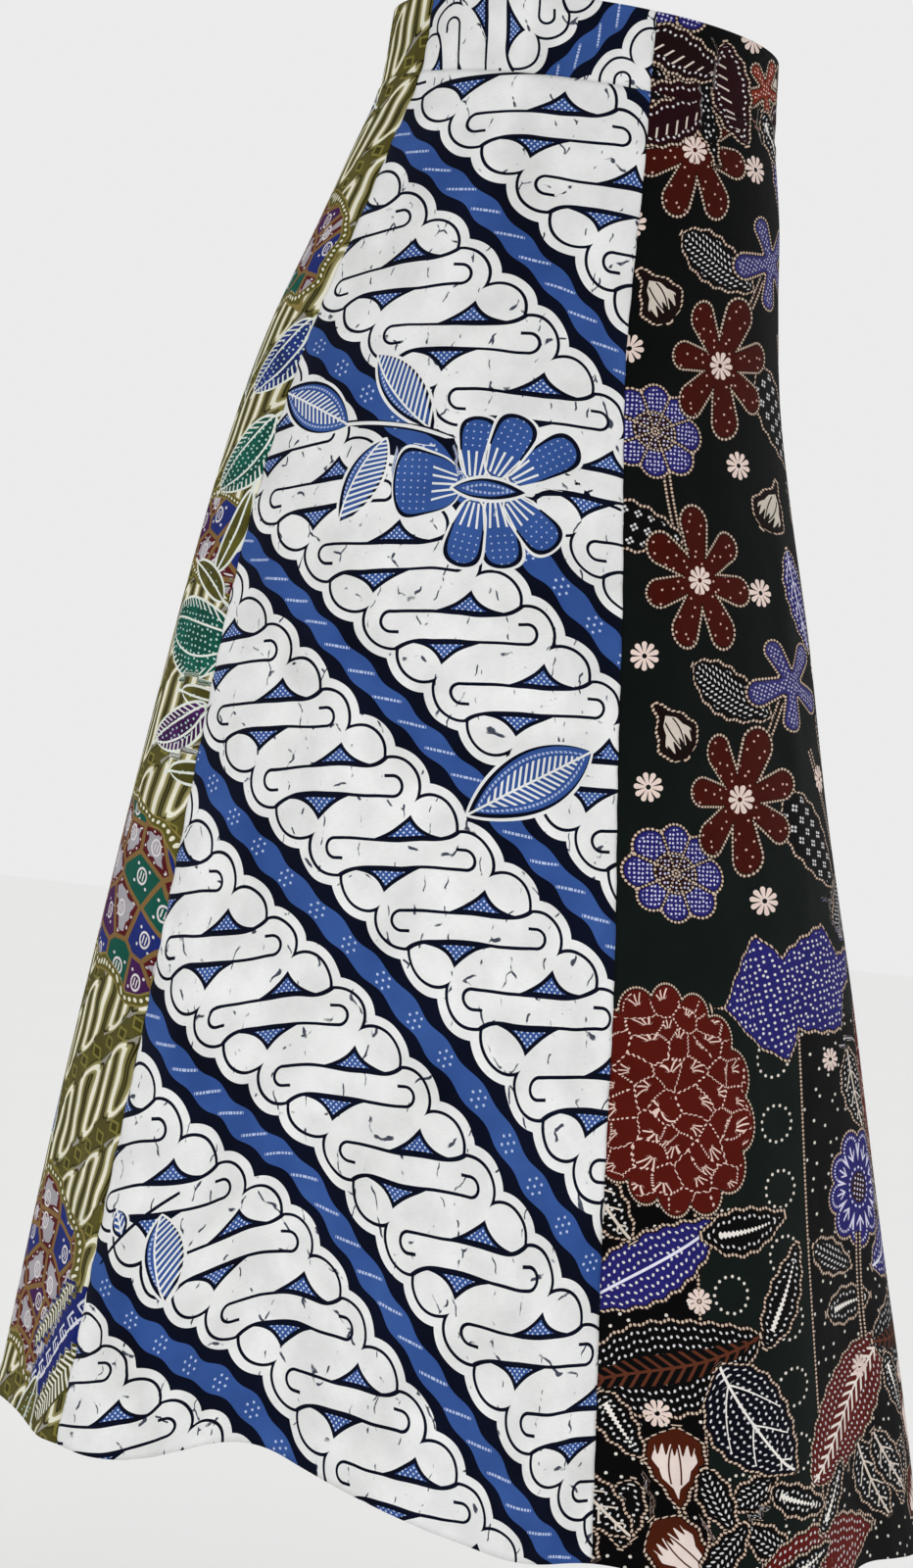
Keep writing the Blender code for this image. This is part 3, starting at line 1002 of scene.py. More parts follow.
def parang_on_gore(flat, shift=(0, 0)):
    """Print coordinates in mm: along the stripes, and across them."""
    u, v = flat[:, 0] - shift[0], flat[:, 1] - shift[1]
    level, by_u, by_v, by_uu, by_uv = STRIPE_FIT
    across = level + by_u * u + by_v * v + by_uu * u * u + by_uv * u * v
    s = u * cos(FIGURE_TURN) + v * sin(FIGURE_TURN)
    along = FIGURE_FIT[0] + FIGURE_FIT[1] * s + FIGURE_FIT[2] * s * s
    return np.stack((along * FIGURE_PERIOD, across * BAND_PERIOD), axis=1)


def parang_on_band(flat, hook):
    """The band's piece is cut from the same cloth with its figures upright; hook is where one lies."""
    u, v = (flat[:, 0] - hook[0]) / BAND_SCALE, (flat[:, 1] - hook[1]) / BAND_SCALE
    along = u * cos(BAND_FIGURE_TURN) + v * sin(BAND_FIGURE_TURN) + HOOK_X - FIGURE_START + FIGURE_SLIP
    across = u * cos(BAND_STRIPE_TURN) + v * sin(BAND_STRIPE_TURN) + BAND_PERIOD * 3 / 2 + HOOK_Y
    return np.stack((along, across), axis=1)


white_maps = {
    "gore_right": parang_on_gore(flats["gore_right"]),
    "gore_left": parang_on_gore(flats["gore_left"], LEFT_SHIFT),
    "band_right": parang_on_band(flats["band_right"], (-49.7, 20.0)),
    "band_left": parang_on_band(flats["band_left"], (-10.0, 24.0)),
}
for name, values in white_maps.items():
    lay_map(cloths[name], "print", values)
    shift = LEFT_SHIFT if name == "gore_left" else (0, 0)
    shift = OFF_THE_CLOTH if name.startswith("band") else shift
    for layer, motifs in WHITE_LAYERS.items():
        press(cloths[name], flats[name], layer, motifs, shift)
print("white cloth laid on", list(white_maps))

# %% White and blue batik cotton
# Undyed wax-kept cotton is a cool off-white with crackle; indigo gives one mid blue and one near-black navy
white_cloth, tree, known = new_cloth("white and indigo batik cotton")
for layer in WHITE_LAYERS:
    stamped(tree, known, layer)
reckon(
    tree,
    known,
    (
        ("ink outline navy blue wedge core x y e band level", "Group", PARANG, "PRINT"),
        ("uneven", "TexNoise", "2D", "CUT", 22.0, 4.0),
        "white = blend uneven #E2E3E1 #F4F5F5",
        "indigo = blend uneven #294789 #4062A4",
        "deep = blend uneven #03050F #0B1128",
        ("cracks", "Group", CRACKS, "CUT"),
        "tone = blend cracks white #262E45",
        "tone = blend navy tone deep",
        "tone = blend blue tone indigo",
        "stripe = y > 0.0 | + band",
        ("marks", "Group", DASHES, "level", "e", "stripe"),
        "marks = marks * blue",
        "tone = blend marks tone #B4C3E6",
        "line = maximum ink outline | maximum wedge",
        "tone = blend line tone deep",
        "tone = blend core tone indigo",
        ("grid", "CombineXYZ", {}, "x", "y"),
        ("grid", "VectorMath", "ADD", "grid", (LATTICE_SHIFT, LATTICE_SHIFT, 0)),
        ("dots", "Group", DOTS, "grid", 2.3, 0.58),
        "dots = dots * core",
        "tone = blend dots tone #C9D3EA",
    ),
)
for layer in WHITE_LAYERS:
    reckon(
        tree,
        known,
        (
            ("body light dark pale", "Group", BLUE_MOTIF, layer + "_place", layer + "_make"),
            "fill = blend pale indigo #A9B8DD",
            "fill = blend dark fill deep",
            "fill = blend light fill white",
            "tone = blend body tone fill",
        ),
    )
cotton(tree, known)
for name in white_maps:
    cloths[name].data.materials.append(white_cloth)
print("nodes in the white cloth", len(tree.nodes))

# %% [markdown]
# ## Dark floral cloth
# The front is a cotton dyed nearly black-green, with brick-red stars, purple peonies, cream daisies and
# dotted leaves. Each outline is a brown line with a row of wax dots along it. One group draws every round
# flower: the point's angle is folded into one petal, so that a petal drawn once appears all round.

# %% Round flowers
ORCHID, STAR, PEONY, ROSETTE, CARNATION = 5, 7, 8, 9, 14
OUTLINE = 2.6
BEAD = 0.78
BEAD_STEP = 2.2
BLOOM = group(
    "round flower",
    "PLACE MAKE",
    "body border bead mark core",
    (
        ("x y room", "SeparateXYZ", {}, "PLACE"),
        ("length width folds", "SeparateXYZ", {}, "MAKE"),
        "stretch = length / width",
        "y = y * stretch",
        "r = hypot x y",
        "turn = arctan2 y x",
        # The hand makes some petals longer
        "sway = turn * 2.0 + length | sine | * 0.11 + 1.08",
        "r = r * sway",
        f"half = {pi} / folds",
        "minus = half * -1.0",
        "fold = wrap turn half minus",
        "p = cosine fold | * r",
        "q = sine fold | * r",
        # A petal is a club: its round end has the radius pad and its middle lies at ring
        "is_star = folds < 7.5",
        "many = folds > 10.0",
        "share = is_star * -0.085 + 0.29",
        "share = many * -0.09 + share",
        "pad = length * share",
        "ring = length - pad",
        "past = p - ring",
        "over = maximum past 0.0",
        "arm = hypot over q",
        "taper = p / ring | minimum 1.0",
        "wide = is_star * -0.28 + 0.70",
        "less = 1.0 - wide",
        "edge = taper * less + wide | * pad | - arm",
        "disc = length * 0.24 | - r",
        "edge = smooth_max edge disc 5.0",
        # Wax dots along the outline
        "swing = arctan2 q over | * pad",
        "reach = minimum p ring",
        "swing = absolute swing",
        "straight = past < 0.0",
        f"t = mix straight swing reach | pingpong {BEAD_STEP / 2}",
        f"off = edge + {OUTLINE / 2}",
        f"bead = hypot t off | < {BEAD}",
        "in_room = room < 1.0",
        f"body = edge > {-OUTLINE} | * in_room",
        "border = edge < 0.0",
        # Loose dots on a star, rows on a peony, rings on a carnation
        ("loose", "TexVoronoi", "2D", "PLACE", 0.15, 0.0, 0.5, 2.0, 0.8),
        "loose = loose < 0.1",
        ("rows", "TexVoronoi", "2D", "PLACE", 0.42, 0.0, 0.5, 2.0, 0.3),
        "rows = rows < 0.27",
        "inside = edge > 1.6",
        "rows = rows * inside",
        f"sparse = compare folds {STAR} 0.4",
        # A rosette's petals carry arrows
        "stem = compare p 20.5 4.5",
        "q_side = absolute q",
        "thin = q_side < 0.6",
        "stem = stem * thin",
        "barb = q_side * -1.4 + p | compare 16.5 0.9",
        "short = q_side < 3.4",
        "barb = barb * short",
        "arrow = maximum stem barb",
        f"is_rosette = compare folds {ROSETTE} 0.4",
        "rim = compare edge 2.6 0.75",
        "spot = pingpong swing 1.5 | < 0.75",
        "rim = rim * spot",
        "arrow = maximum arrow rim",
        f"around = turn * 9.0 | pingpong {pi / 2}",
        "ringed = r - 11.2",
        "ringed = hypot around ringed | < 0.8",
        "arrow = maximum arrow ringed",
        ("middle", "Group", DOTS, "PLACE", 2.9, 0.72),
        "inner = r < 7.6 | * middle",
        "arrow = maximum arrow inner",
        "rows = mix is_rosette rows arrow",
        "mark = mix sparse rows loose",
        # Seams between a peony's petals, with their own row of dots, and an inner ring
        "gap = absolute fold",
        "gap = half - gap | * r",
        "hub = is_rosette * -0.15 + 0.42",
        "hub = length * hub",
        "hub = r - hub",
        "hub_far = absolute hub",
        "seam = minimum gap hub_far",
        f"is_peony = compare folds {PEONY} 0.4",
        f"t = pingpong r {BEAD_STEP / 2}",
        f"round = turn * 11.0 | pingpong {BEAD_STEP / 2}",
        "on_hub = hub_far < gap",
        "dot = mix on_hub t round | hypot seam | < 0.7 | * is_peony",
        "bead = maximum bead dot",
        "seam = seam < 1.2 | * is_peony",
        "border = maximum border seam",
        # A carnation's frills: each cell has a dotted edge and a fan of strokes that points outward
        ("ruffle curl", "TexNoise", "2D", "PLACE", 0.045, 0.0),
        ("ruffled", "VectorMath", "MULTIPLY_ADD", "curl", (9, 9, 0), "PLACE"),
        ("far hue spot", "TexVoronoi", "2D", "ruffled", 0.075, 0.0, 0.5, 2.0, 0.8),
        ("frill", "TexVoronoi", CELL_EDGES, "ruffled", 0.075, 0.0, 0.5, 2.0, 0.8),
        "frill = frill * 13.3",
        ("spot", "VectorMath", "SUBTRACT", "ruffled", "spot"),
        ("i j w", "SeparateXYZ", {}, "spot"),
        "far = hypot i j",
        "swing = arctan2 j i",
        f"dot = swing * 7.0 | pingpong {BEAD_STEP / 2} | hypot frill | < 0.58",
        f"swing = swing - turn | wrap {pi} {-pi}",
        "spread = absolute swing | < 0.72",
        "stroke = pingpong swing 0.2 | * far | < 0.34 | * spread",
        "near = compare far 4.8 2.8",
        "stroke = stroke * near",
        "dot = maximum dot stroke | * inside",
        "mark = mix many mark dot",
        "core = hub < 0.0",
        "plain = compare folds 8.5 0.9",
        "core = core * plain",
    ),
)

# %% [markdown]
# ## Dotted leaves, buds and daisies
# Leaves, buds and stalks share one group too. They differ in what is drawn along the midrib: nothing, white
# ribs, a fern, a saw-edged line, or a bud's pale flame.

# %% Leaves and daisies of the dark cloth
DOTTED, RIBBED, FERN, SAW, FLAME, STALK, STARRY, STROKED, PEPPERED, VEINED, MIDRIB = range(11)
DARK_LEAF = group(
    "dotted leaf",
    "PLACE MAKE",
    "body border bead mark dots",
    (
        ("x y room", "SeparateXYZ", {}, "PLACE"),
        ("length width kind", "SeparateXYZ", {}, "MAKE"),
        "a = x / length",
        "aa = a * a",
        "leaf = 1.0 - aa | maximum 0.0 | power 0.8",
        "bend = leaf * -0.18 + 0.09 | * width",
        "y = y + bend",
        "side = absolute y",
        f"is_flame = compare kind {FLAME} 0.4",
        "lean = is_flame * -0.62 + -0.22",
        "lean = a * lean + 0.92",
        "leaf = leaf * lean | * width",
        "tooth = pingpong x 5.0 | * 0.34 + -0.8",
        "leaf = leaf + tooth",
        # A peppered leaf's outline breaks into pointed lobes
        "lobe = a * 1.4 + 10.25 | fract",
        "drop = 1.0 - lobe | * 4.0",
        "lobe = lobe * 1.25 | minimum drop | - 0.75 | * width",
        f"is_peppered = compare kind {PEPPERED} 0.4",
        "lobe = lobe * is_peppered",
        "leaf = lobe * 0.5 + leaf",
        "edge = leaf - side | * 0.88",
        "to_tip = absolute x",
        "to_tip = length - to_tip",
        "edge = minimum edge to_tip",
        f"is_stalk = compare kind {STALK} 0.4",
        "line = 0.4 - side",
        "edge = mix is_stalk edge line",
        f"t = pingpong x {BEAD_STEP / 2}",
        f"off = edge + {OUTLINE / 2}",
        f"bead = hypot t off | < {BEAD}",
        "in_room = room < 1.0",
        f"body = edge > {-OUTLINE} | * in_room",
        "border = edge < 0.0 | maximum is_stalk",
        # Dots stand in rows that bend at the midrib, or that follow the outline
        "inside = edge > 1.2",
        "bent = side * 0.8 + x",
        ("bent", "CombineXYZ", {}, "bent", "side"),
        ("rows", "Group", DOTS, "bent", 3.2, 0.82),
        "level = edge - 2.4 | wrap 2.0 -2.0",
        "dots = pingpong x 1.6 | hypot level | < 0.72",
        f"is_dotted = compare kind {DOTTED} 0.4",
        "dots = mix is_dotted dots rows",
        # Or in little stars of four
        "i = wrap x 4.0 -4.0 | absolute",
        "j = wrap y 4.0 -4.0 | absolute",
        "most = maximum i j | - 1.5",
        "least = minimum i j",
        "dot = hypot most least | < 0.8",
        f"is_starry = compare kind {STARRY} 0.4",
        "dots = mix is_starry dots dot",
        ("pepper", "TexVoronoi", "2D", "PLACE", 0.27, 0.0, 0.5, 2.0, 0.55),
        "pepper = pepper < 0.21",
        "dots = mix is_peppered dots pepper | * inside",
        # White ribs bend away from the midrib
        f"is_veined = compare kind {VEINED} 0.4",
        f"is_midrib = compare kind {MIDRIB} 0.4",
        "arch = side * side | * 0.035 + side | * -0.9 + x",
        "step = is_veined * 6.5 + 6.0",
        "rib = pingpong arch step | < 0.7",
        "some = 1.0 - is_midrib",
        "rib = rib * some",
        "deep = edge > 2.5",
        "rib = rib * deep",
        "mid = side < 0.75",
        "rib = maximum rib mid",
        f"is_ribbed = compare kind {RIBBED} 0.4 | maximum is_veined | maximum is_midrib",
        "mark = rib * is_ribbed",
        # Or short white strokes that reach neither midrib nor outline
        "dash = side * 0.6 + x | pingpong 3.2 | < 0.6",
        "deep = edge > 3.6",
        "off_mid = y > 0.5",
        "dash = dash * deep | * off_mid",
        f"is_stroked = compare kind {STROKED} 0.4",
        "dash = dash * is_stroked",
        "mark = maximum mark dash",
        # A fern's barbs
        "barb = side * 0.9 + x | pingpong 3.0 | < 1.05",
        "fern = leaf * 0.34",
        "free = side > fern",
        "near = 1.0 - free",
        "barb = barb * near | maximum mid",
        f"is_fern = compare kind {FERN} 0.4",
        "barb = barb * is_fern",
        "mark = maximum mark barb",
        # A saw-edged midrib
        "saw = pingpong x 1.2",
        "saw = a * -1.0 + saw | + 0.3",
        "saw = side < saw",
        "short = aa < 0.45",
        "first = edge < 3.9",
        f"is_saw = compare kind {SAW} 0.4",
        "sparse = is_saw + is_stroked",
        "first = 1.0 - first | * sparse",
        "first = 1.0 - first",
        "dots = dots * first",
        "saw = saw * short | * is_saw",
        "mark = maximum mark saw",
        # A bud's flame fills it, and two dark strokes spread from its foot
        "tongue = side * 1.5 | cosine | * 3.0",
        "tongue = length * -0.48 + tongue",
        "tongue = x > tongue",
        "flame = edge > 3.0 | * tongue",
        "split = a * 2.2",
        "split = split * split + side | compare 3.0 0.45",
        "upper = a > 0.35",
        "lower = 1.0 - upper",
        "split = split * lower",
        "split = 1.0 - split",
        "flame = flame * split | * is_flame",
        "mark = maximum mark flame",
        "clear = 1.0 - is_flame",
        "dots = dots * clear",
        "clear = near * is_fern",
        "clear = 1.0 - clear",
        "dots = dots * clear",
    ),
)
DAISY = group(
    "daisy",
    "PLACE MAKE",
    "petals",
    (
        ("x y room", "SeparateXYZ", {}, "PLACE"),
        ("length width kind", "SeparateXYZ", {}, "MAKE"),
        "r = hypot x y",
        f"fold = arctan2 y x | wrap {pi / 10} {-pi / 10}",
        "p = cosine fold | * r",
        "q = sine fold | * r",
        "tip = length - 1.3",
        "arm = p - tip | maximum 0.0 | hypot q",
        "wide = p * 0.19 + 0.25",
        "petals = arm < wide",
        "far = r > 1.4",
        "petals = petals * far",
        "in_room = room < 1.0",
        "petals = petals * in_room",
    ),
)
print("groups", len(bpy.data.node_groups))

# %% [markdown]
# ## Where the dark cloth's motifs lie
# The print repeats every 190 mm across and 244 mm down, over a border of large leaves at the hem. Its
# threads run a little askew of the gore's middle, so a slanted print map is laid over the flat cut.

# %% Motifs of the dark cloth
# The printed figures are wider where the skirt turns away at its right edge
PRINT_FROM = (-460, -60, -10, 130, 490)
PRINT_TO = (-400, -52, -21, 50, 363)
PRINT_SLANT = 0.13
REPEAT_ACROSS, REPEAT_DOWN = 190, 244
LANE_MIDDLE, LANE_HALF = 61.5, 35.5
RING_STEP, RING_SIZE = 34.0, 9.5
BORDER_TOP = 455
FIELD_END, BORDER_START = BORDER_TOP + 12, BORDER_TOP + 25
BLACK_FROM, LANE_FROM = BORDER_TOP + 52, BORDER_TOP + 60
BRICK, PURPLE, INK, BROWN = "#420E06", "#25226A", "#070708", "#150A08"
CREAM, WAX = "#DFD3C6", "#F4EFE8"
OUTLINE_ROOM = 4.2
STARS = (
    Motif(STAR, -76, 21, 10, 40, 40, BRICK, "#D8B2A4"),
    Motif(STAR, -52, 142, 35, 40, 40, BRICK, "#D8B2A4"),
)
FIELD_BLOOMS = (
    Motif(PEONY, -99, 181, 5, 29, 29, PURPLE, "#CFCDE8"),
    Motif(ORCHID, -14, 76, 20, 31, 31, "#35336E", "#B9B7CE"),
)
FIELD_LEAVES = (
    Motif(DOTTED, -57, 83, 27, 29, 13, INK, CREAM),
    Motif(STARRY, -114, 234, 20, 28, 13, INK, CREAM),
    Motif(STARRY, -2, 165, 50, 34, 16, INK, CREAM),
    Motif(RIBBED, 3, 26, 70, 30, 13, PURPLE, "#CFCDE8"),
    Motif(DOTTED, 29, 200, -50, 26, 12, INK, CREAM),
    Motif(DOTTED, 38, 110, 40, 26, 12, INK, CREAM),
)
FIELD_STALKS = (
    Motif(FLAME, -97, 104, -122, 17, 11, BROWN, "#D3C9BC"),
    Motif(FLAME, -18, 218, -60, 16, 12, BROWN, "#D3C9BC"),
    Motif(STALK, -92, 218, 84, 24, 6, BROWN),
    Motif(STALK, -35, 110, -60, 22, 6, BROWN),
    Motif(STALK, 17, 140, 60, 28, 6, BROWN),
)
FIELD_DAISIES = tuple(
    Motif(0, u, v, turn, 7.6, 7.6)
    for u, v, turn in (
        (-33, 26, 0), (-112, 63, 20), (-112, 134, 8), (-42, 198, 12), (14, 128, 0), (26, 62, 15),
        (-76, 21, 5), (-52, 142, 0),
    )
)
BORDER_BLOOMS = (Motif(CARNATION, -108, 545, 90, 70, 48, "#55140C", "#E8CBBF"),)
ROSETTES = tuple(Motif(ROSETTE, u, 605, 10, 33, 32, PURPLE, "#DCD9F0") for u in (22, 212))
# Leaves that touch lie in layers of their own, because each layer keeps only the nearest figure
BORDER_UNDER = (
    Motif(FERN, 3, 720, -42, 47, 25, "#591510", "#F0E4DC"),
    Motif(FLAME, -112, 738, 88, 22, 13, "#4A1C0C", "#E9D9D2"),
    Motif(MIDRIB, -120, 630, -30, 42, 17, PURPLE, "#E6E4F5"),
    Motif(SAW, -47, 650, -62, 27, 10, INK, WAX),
    Motif(SAW, 6, 790, 10, 18, 7, INK, WAX),
    Motif(DOTTED, -62, 776, 30, 17, 8, INK, CREAM),
    Motif(STROKED, -138, 764, 100, 18, 9, INK, WAX),
    Motif(DOTTED, -72, 748, -30, 15, 7, INK, CREAM),
)
BORDER_LEAVES = (
    Motif(PEPPERED, -20, 488, -12, 62, 34, PURPLE, "#E6E4F5"),
    Motif(SAW, -68, 613, -8, 25, 11, INK, WAX),
    Motif(FERN, -112, 682, -14, 50, 25, INK, "#5C3020"),
    Motif(RIBBED, 22, 550, 70, 24, 12, INK, CREAM),
    Motif(RIBBED, -142, 600, 60, 22, 10, INK, CREAM),
    Motif(DOTTED, -92, 752, 65, 17, 8, INK, CREAM),
    Motif(DOTTED, -5, 640, 30, 19, 8, INK, CREAM),
    Motif(FLAME, -108, 782, 40, 22, 13, "#4A1C0C", "#E9D9D2"),
    Motif(MIDRIB, -23, 793, 4, 44, 23, "#5E1611", "#5E1611"),
)
BORDER_OVER = (
    Motif(SAW, 8, 668, -4, 20, 9, INK, WAX),
    Motif(DOTTED, -88, 778, -50, 17, 7, INK, CREAM),
    Motif(RIBBED, 24, 768, 60, 24, 12, INK, CREAM),
    Motif(VEINED, -69, 712, 54, 35, 24, "#080A16", "#F2EEE8"),
    Motif(SAW, -17, 764, -50, 18, 7, INK, WAX),
    Motif(SAW, -140, 716, 60, 20, 8, INK, WAX),
)
BORDER_TOP_LEAVES = (
    Motif(SAW, -44, 756, 25, 20, 7, INK, WAX),
    Motif(SAW, -40, 790, -12, 18, 6, INK, WAX),
    Motif(RIBBED, -150, 760, 50, 22, 10, INK, CREAM),
    Motif(STALK, 20, 660, 88, 26, 6, BROWN),
)
BORDER_DAISIES = tuple(
    Motif(0, u, v, 0, size, size)
    for u, v, size in ((-3, 532, 6.4), (-97, 649, 6.4), (17, 705, 6.4), (-121, 709, 7))
)


def repeated(motifs, rows):
    """The same motifs in every repeat of the print, over so many rows of it."""
    return [
        motif._replace(u=motif.u + REPEAT_ACROSS * across, v=motif.v + REPEAT_DOWN * down)
        for motif in motifs
        for across in (-1, 0, 1, 2)
        for down in rows
    ]


# The print runs on over the band, which is this many mm high
BAND_REACH = 45


def dark_print(flat):
    across = flat[:, 0] + PRINT_SLANT * flat[:, 1]
    return np.stack((np.interp(across, PRINT_FROM, PRINT_TO), flat[:, 1]), axis=1)


FIELD_ROWS = (-1, 0, 1)
# Leaves that lie once along the waist, given in the cut and moved to the print
WAIST_LEAVES = (
    Motif(STROKED, -94, -25, 15, 28, 12, "#1C0A0C", CREAM),
    Motif(STROKED, -57, -12, 68, 27, 13, "#25090F", CREAM),
    Motif(STROKED, 40, -16, -30, 27, 12, "#25090F", CREAM),
    Motif(SAW, 4, 4, 40, 18, 8, INK, WAX),
)
WAIST_UNDER = (
    Motif(STROKED, -100, 3, -22, 30, 12, "#25090F", CREAM),
    Motif(PEPPERED, -76, 4, 80, 24, 7, INK, CREAM),
    Motif(STROKED, 74, 4, 30, 27, 12, "#1C0A0C", CREAM),
)


def in_print(motifs):
    return [
        motif._replace(u=np.interp(motif.u + PRINT_SLANT * motif.v, PRINT_FROM, PRINT_TO)) for motif in motifs
    ]


WAIST_BLOOMS = (Motif(ORCHID, -26, -22, 0, 19, 19, "#7A2A16", "#E3BDB4"),)
DARK_LAYERS = {
    "under": repeated(FIELD_STALKS, FIELD_ROWS) + repeated(BORDER_UNDER, (0,)),
    "leaves": repeated(FIELD_LEAVES, FIELD_ROWS) + repeated(BORDER_LEAVES, (0,)),
    "blooms": repeated(FIELD_BLOOMS, FIELD_ROWS) + repeated(BORDER_BLOOMS, (0,)),
    "stars": repeated(STARS, FIELD_ROWS) + list(ROSETTES + WAIST_BLOOMS),
    "over": repeated(BORDER_OVER, (0,)) + in_print(WAIST_UNDER),
    "top": repeated(BORDER_TOP_LEAVES, (0,)) + in_print(WAIST_LEAVES),
    "daisies": repeated(FIELD_DAISIES, FIELD_ROWS) + repeated(BORDER_DAISIES, (0,)),
}
for layer, motifs in DARK_LAYERS.items():
    DARK_LAYERS[layer] = [
        motif
        for motif in motifs
        if motif.v + motif.width < FIELD_END or motif.v > BORDER_START
    ]
dark_maps = {
    "gore_front": dark_print(flats["gore_front"]),
    "band_front": dark_print(flats["band_front"] - (0, BAND_REACH)),
}
for name, values in dark_maps.items():
    lay_map(cloths[name], "print", values)
    for layer, motifs in DARK_LAYERS.items():
        press(cloths[name], values, layer, motifs, margin=OUTLINE_ROOM)
print({layer: len(motifs) for layer, motifs in DARK_LAYERS.items()})

# %% Dark floral batik cotton
# Dyed nearly black in several baths, so it has depth, a green cast and hardly any gloss
dark_cloth, tree, known = new_cloth("dark floral batik cotton")
for layer in DARK_LAYERS:
    stamped(tree, known, layer)
reckon(
    tree,
    known,
    (
        ("uneven", "TexNoise", "2D", "CUT", 26.0, 4.0),
        "green = blend uneven #030504 #090D0B",
        "black = blend uneven #020203 #050506",
        ("u v w", "SeparateXYZ", {}, "PRINT"),
        # Painted shade: the green ground is darker towards the waist and lighter lower down
        ("washed", "MapRange", {}, "v", 150.0, 520.0, 0.0, 1.0),
        "green = blend washed green #101815",
        f"low = v > {BLACK_FROM}",
        f"lane = u + {LANE_MIDDLE} | wrap {REPEAT_ACROSS / 2} {-REPEAT_ACROSS / 2}",
        "lane_far = absolute lane",
        f"out = lane_far > {LANE_HALF}",
        "low = low * out",
        "tone = blend low green black",
        # Rings of dots in two staggered rows down the lane, and loose dots on the black
        f"below = v > {LANE_FROM}",
        "other = lane > 0.0",
        f"ring_v = other * {RING_STEP / 2} + v | wrap {RING_STEP / 2} {-RING_STEP / 2}",
        f"ring_u = lane_far - {LANE_HALF / 2}",
        "ring = hypot ring_u ring_v",
        f"swing = arctan2 ring_v ring_u | * {RING_SIZE}",
        f"step = pingpong swing {RING_SIZE * pi / 15}",
        f"ring = ring - {RING_SIZE}",
        "oval = hypot ring step | < 0.85 | * below",
        f"inner = lane_far < {LANE_HALF}",
        "oval = oval * inner",
        ("loose", "TexVoronoi", "2D", "PRINT", 0.1, 0.0, 0.5, 2.0, 0.8),
        "loose = loose < 0.09 | * low",
        "oval = maximum oval loose",
        "tone = blend oval tone #DED8CE",
        # A beaded line closes the lane
        f"line = lane_far - {LANE_HALF} | absolute",
        f"bead_v = pingpong v {BEAD_STEP / 2}",
        "bead = hypot line bead_v | < 0.8 | * below",
        "line = line < 1.2 | * below",
        "tone = blend line tone #150A08",
        "tone = blend bead tone #CBB39F",
    ),
)
for layer in ("under", "leaves", "blooms", "stars", "over", "top"):
    blooms = layer in ("blooms", "stars")
    figure, inner, inner_dye = (BLOOM, "core", "#2A1015") if blooms else (DARK_LEAF, "dots", "#DAD8DA")
    reckon(
        tree,
        known,
        (
            ("body border bead mark " + inner, "Group", figure, layer + "_place", layer + "_make"),
            f"fill = blend {inner} {layer}_fill {inner_dye}",
            f"fill = blend mark fill {layer}_mark",
            "fill = blend border fill #150A08",
            "fill = blend bead fill #CFB8A5",
            "tone = blend body tone fill",
        ),
    )
reckon(
    tree,
    known,
    (
        ("petals", "Group", DAISY, "daisies_place", "daisies_make"),
        "tone = blend petals tone #EBD6CD",
    ),
)
cotton(tree, known)
for name in dark_maps:
    cloths[name].data.materials.append(dark_cloth)
print("nodes in the dark cloth", len(tree.nodes))

# %% [markdown]
# ## Olive many-patterned cloth
# The back is a cotton whose olive ground carries rows of S-hooks between chains of diamonds. Islands of
# honeycomb, edged with a dotted ribbon, and big fringed leaves lie over it. Each island's cells come from
# points scattered a little off a grid, as a hand spaces them.

# %% Ground: serpentine hooks and chains of diamonds
HOOK_STEP = 9.6
LANE_DROP = 62
LANE_SLOPE = 1.25
LANE_SHARE = 1 / (1 + LANE_SLOPE**2) ** 0.5
OLIVE_GROUND = group(
    "olive hooks",
    "CUT",
    "cream khaki grey diamond core line",
    (
        ("u v w", "SeparateXYZ", {}, "CUT"),
        ("sway", "TexNoise", "2D", "CUT", 0.03, 1.0),
        "u = sway * 6.0 + u",
        f"y = u * {LANE_SLOPE} + v | wrap {LANE_DROP / 2} {-LANE_DROP / 2}",
        # The hooks turn back at the top between even strokes, at the foot between odd ones
        f"flip = wrap u {HOOK_STEP} {-HOOK_STEP} | < 0.0 | * 2.0 + -1.0",
        "climb = y * flip",
        f"step = pingpong u {HOOK_STEP}",
        f"back = {HOOK_STEP} - step",
        "stroke = minimum step back",
        "over = climb - 17.0",
        "past = over > 0.0",
        f"arc = step - {HOOK_STEP / 2} | hypot over | - {HOOK_STEP / 2} | absolute",
        "under = -17.0 - climb | maximum 0.0",
        "end = hypot stroke under",
        "far = mix past end arc",
        "cream = far < 1.35",
        ("khaki", "MapRange", {}, "far", 3.7, 1.7, 0.0, 1.0),
        "line = compare far 4.0 0.35",
        "outer = absolute y | > 17.0",
        "grey = far > 4.8",
        ("patchy", "TexNoise", "2D", "CUT", 0.075, 0.0),
        "patchy = patchy > 0.5",
        "grey = grey * patchy | * outer",
        # Diamonds in a row along each chain
        f"chain = u * {LANE_SLOPE} + v | pingpong {LANE_DROP / 2}",
        f"chain = {LANE_DROP / 2} - chain | * {LANE_SHARE}",
        f"gem = v * {-LANE_SLOPE} + u | * {LANE_SHARE} | pingpong 7.0 | + chain",
        "diamond = gem < 4.6",
        "core = gem < 2.8",
        "lane = chain < 5.0",
        "away = 1.0 - lane",
        "grey = grey * away",
    ),
)

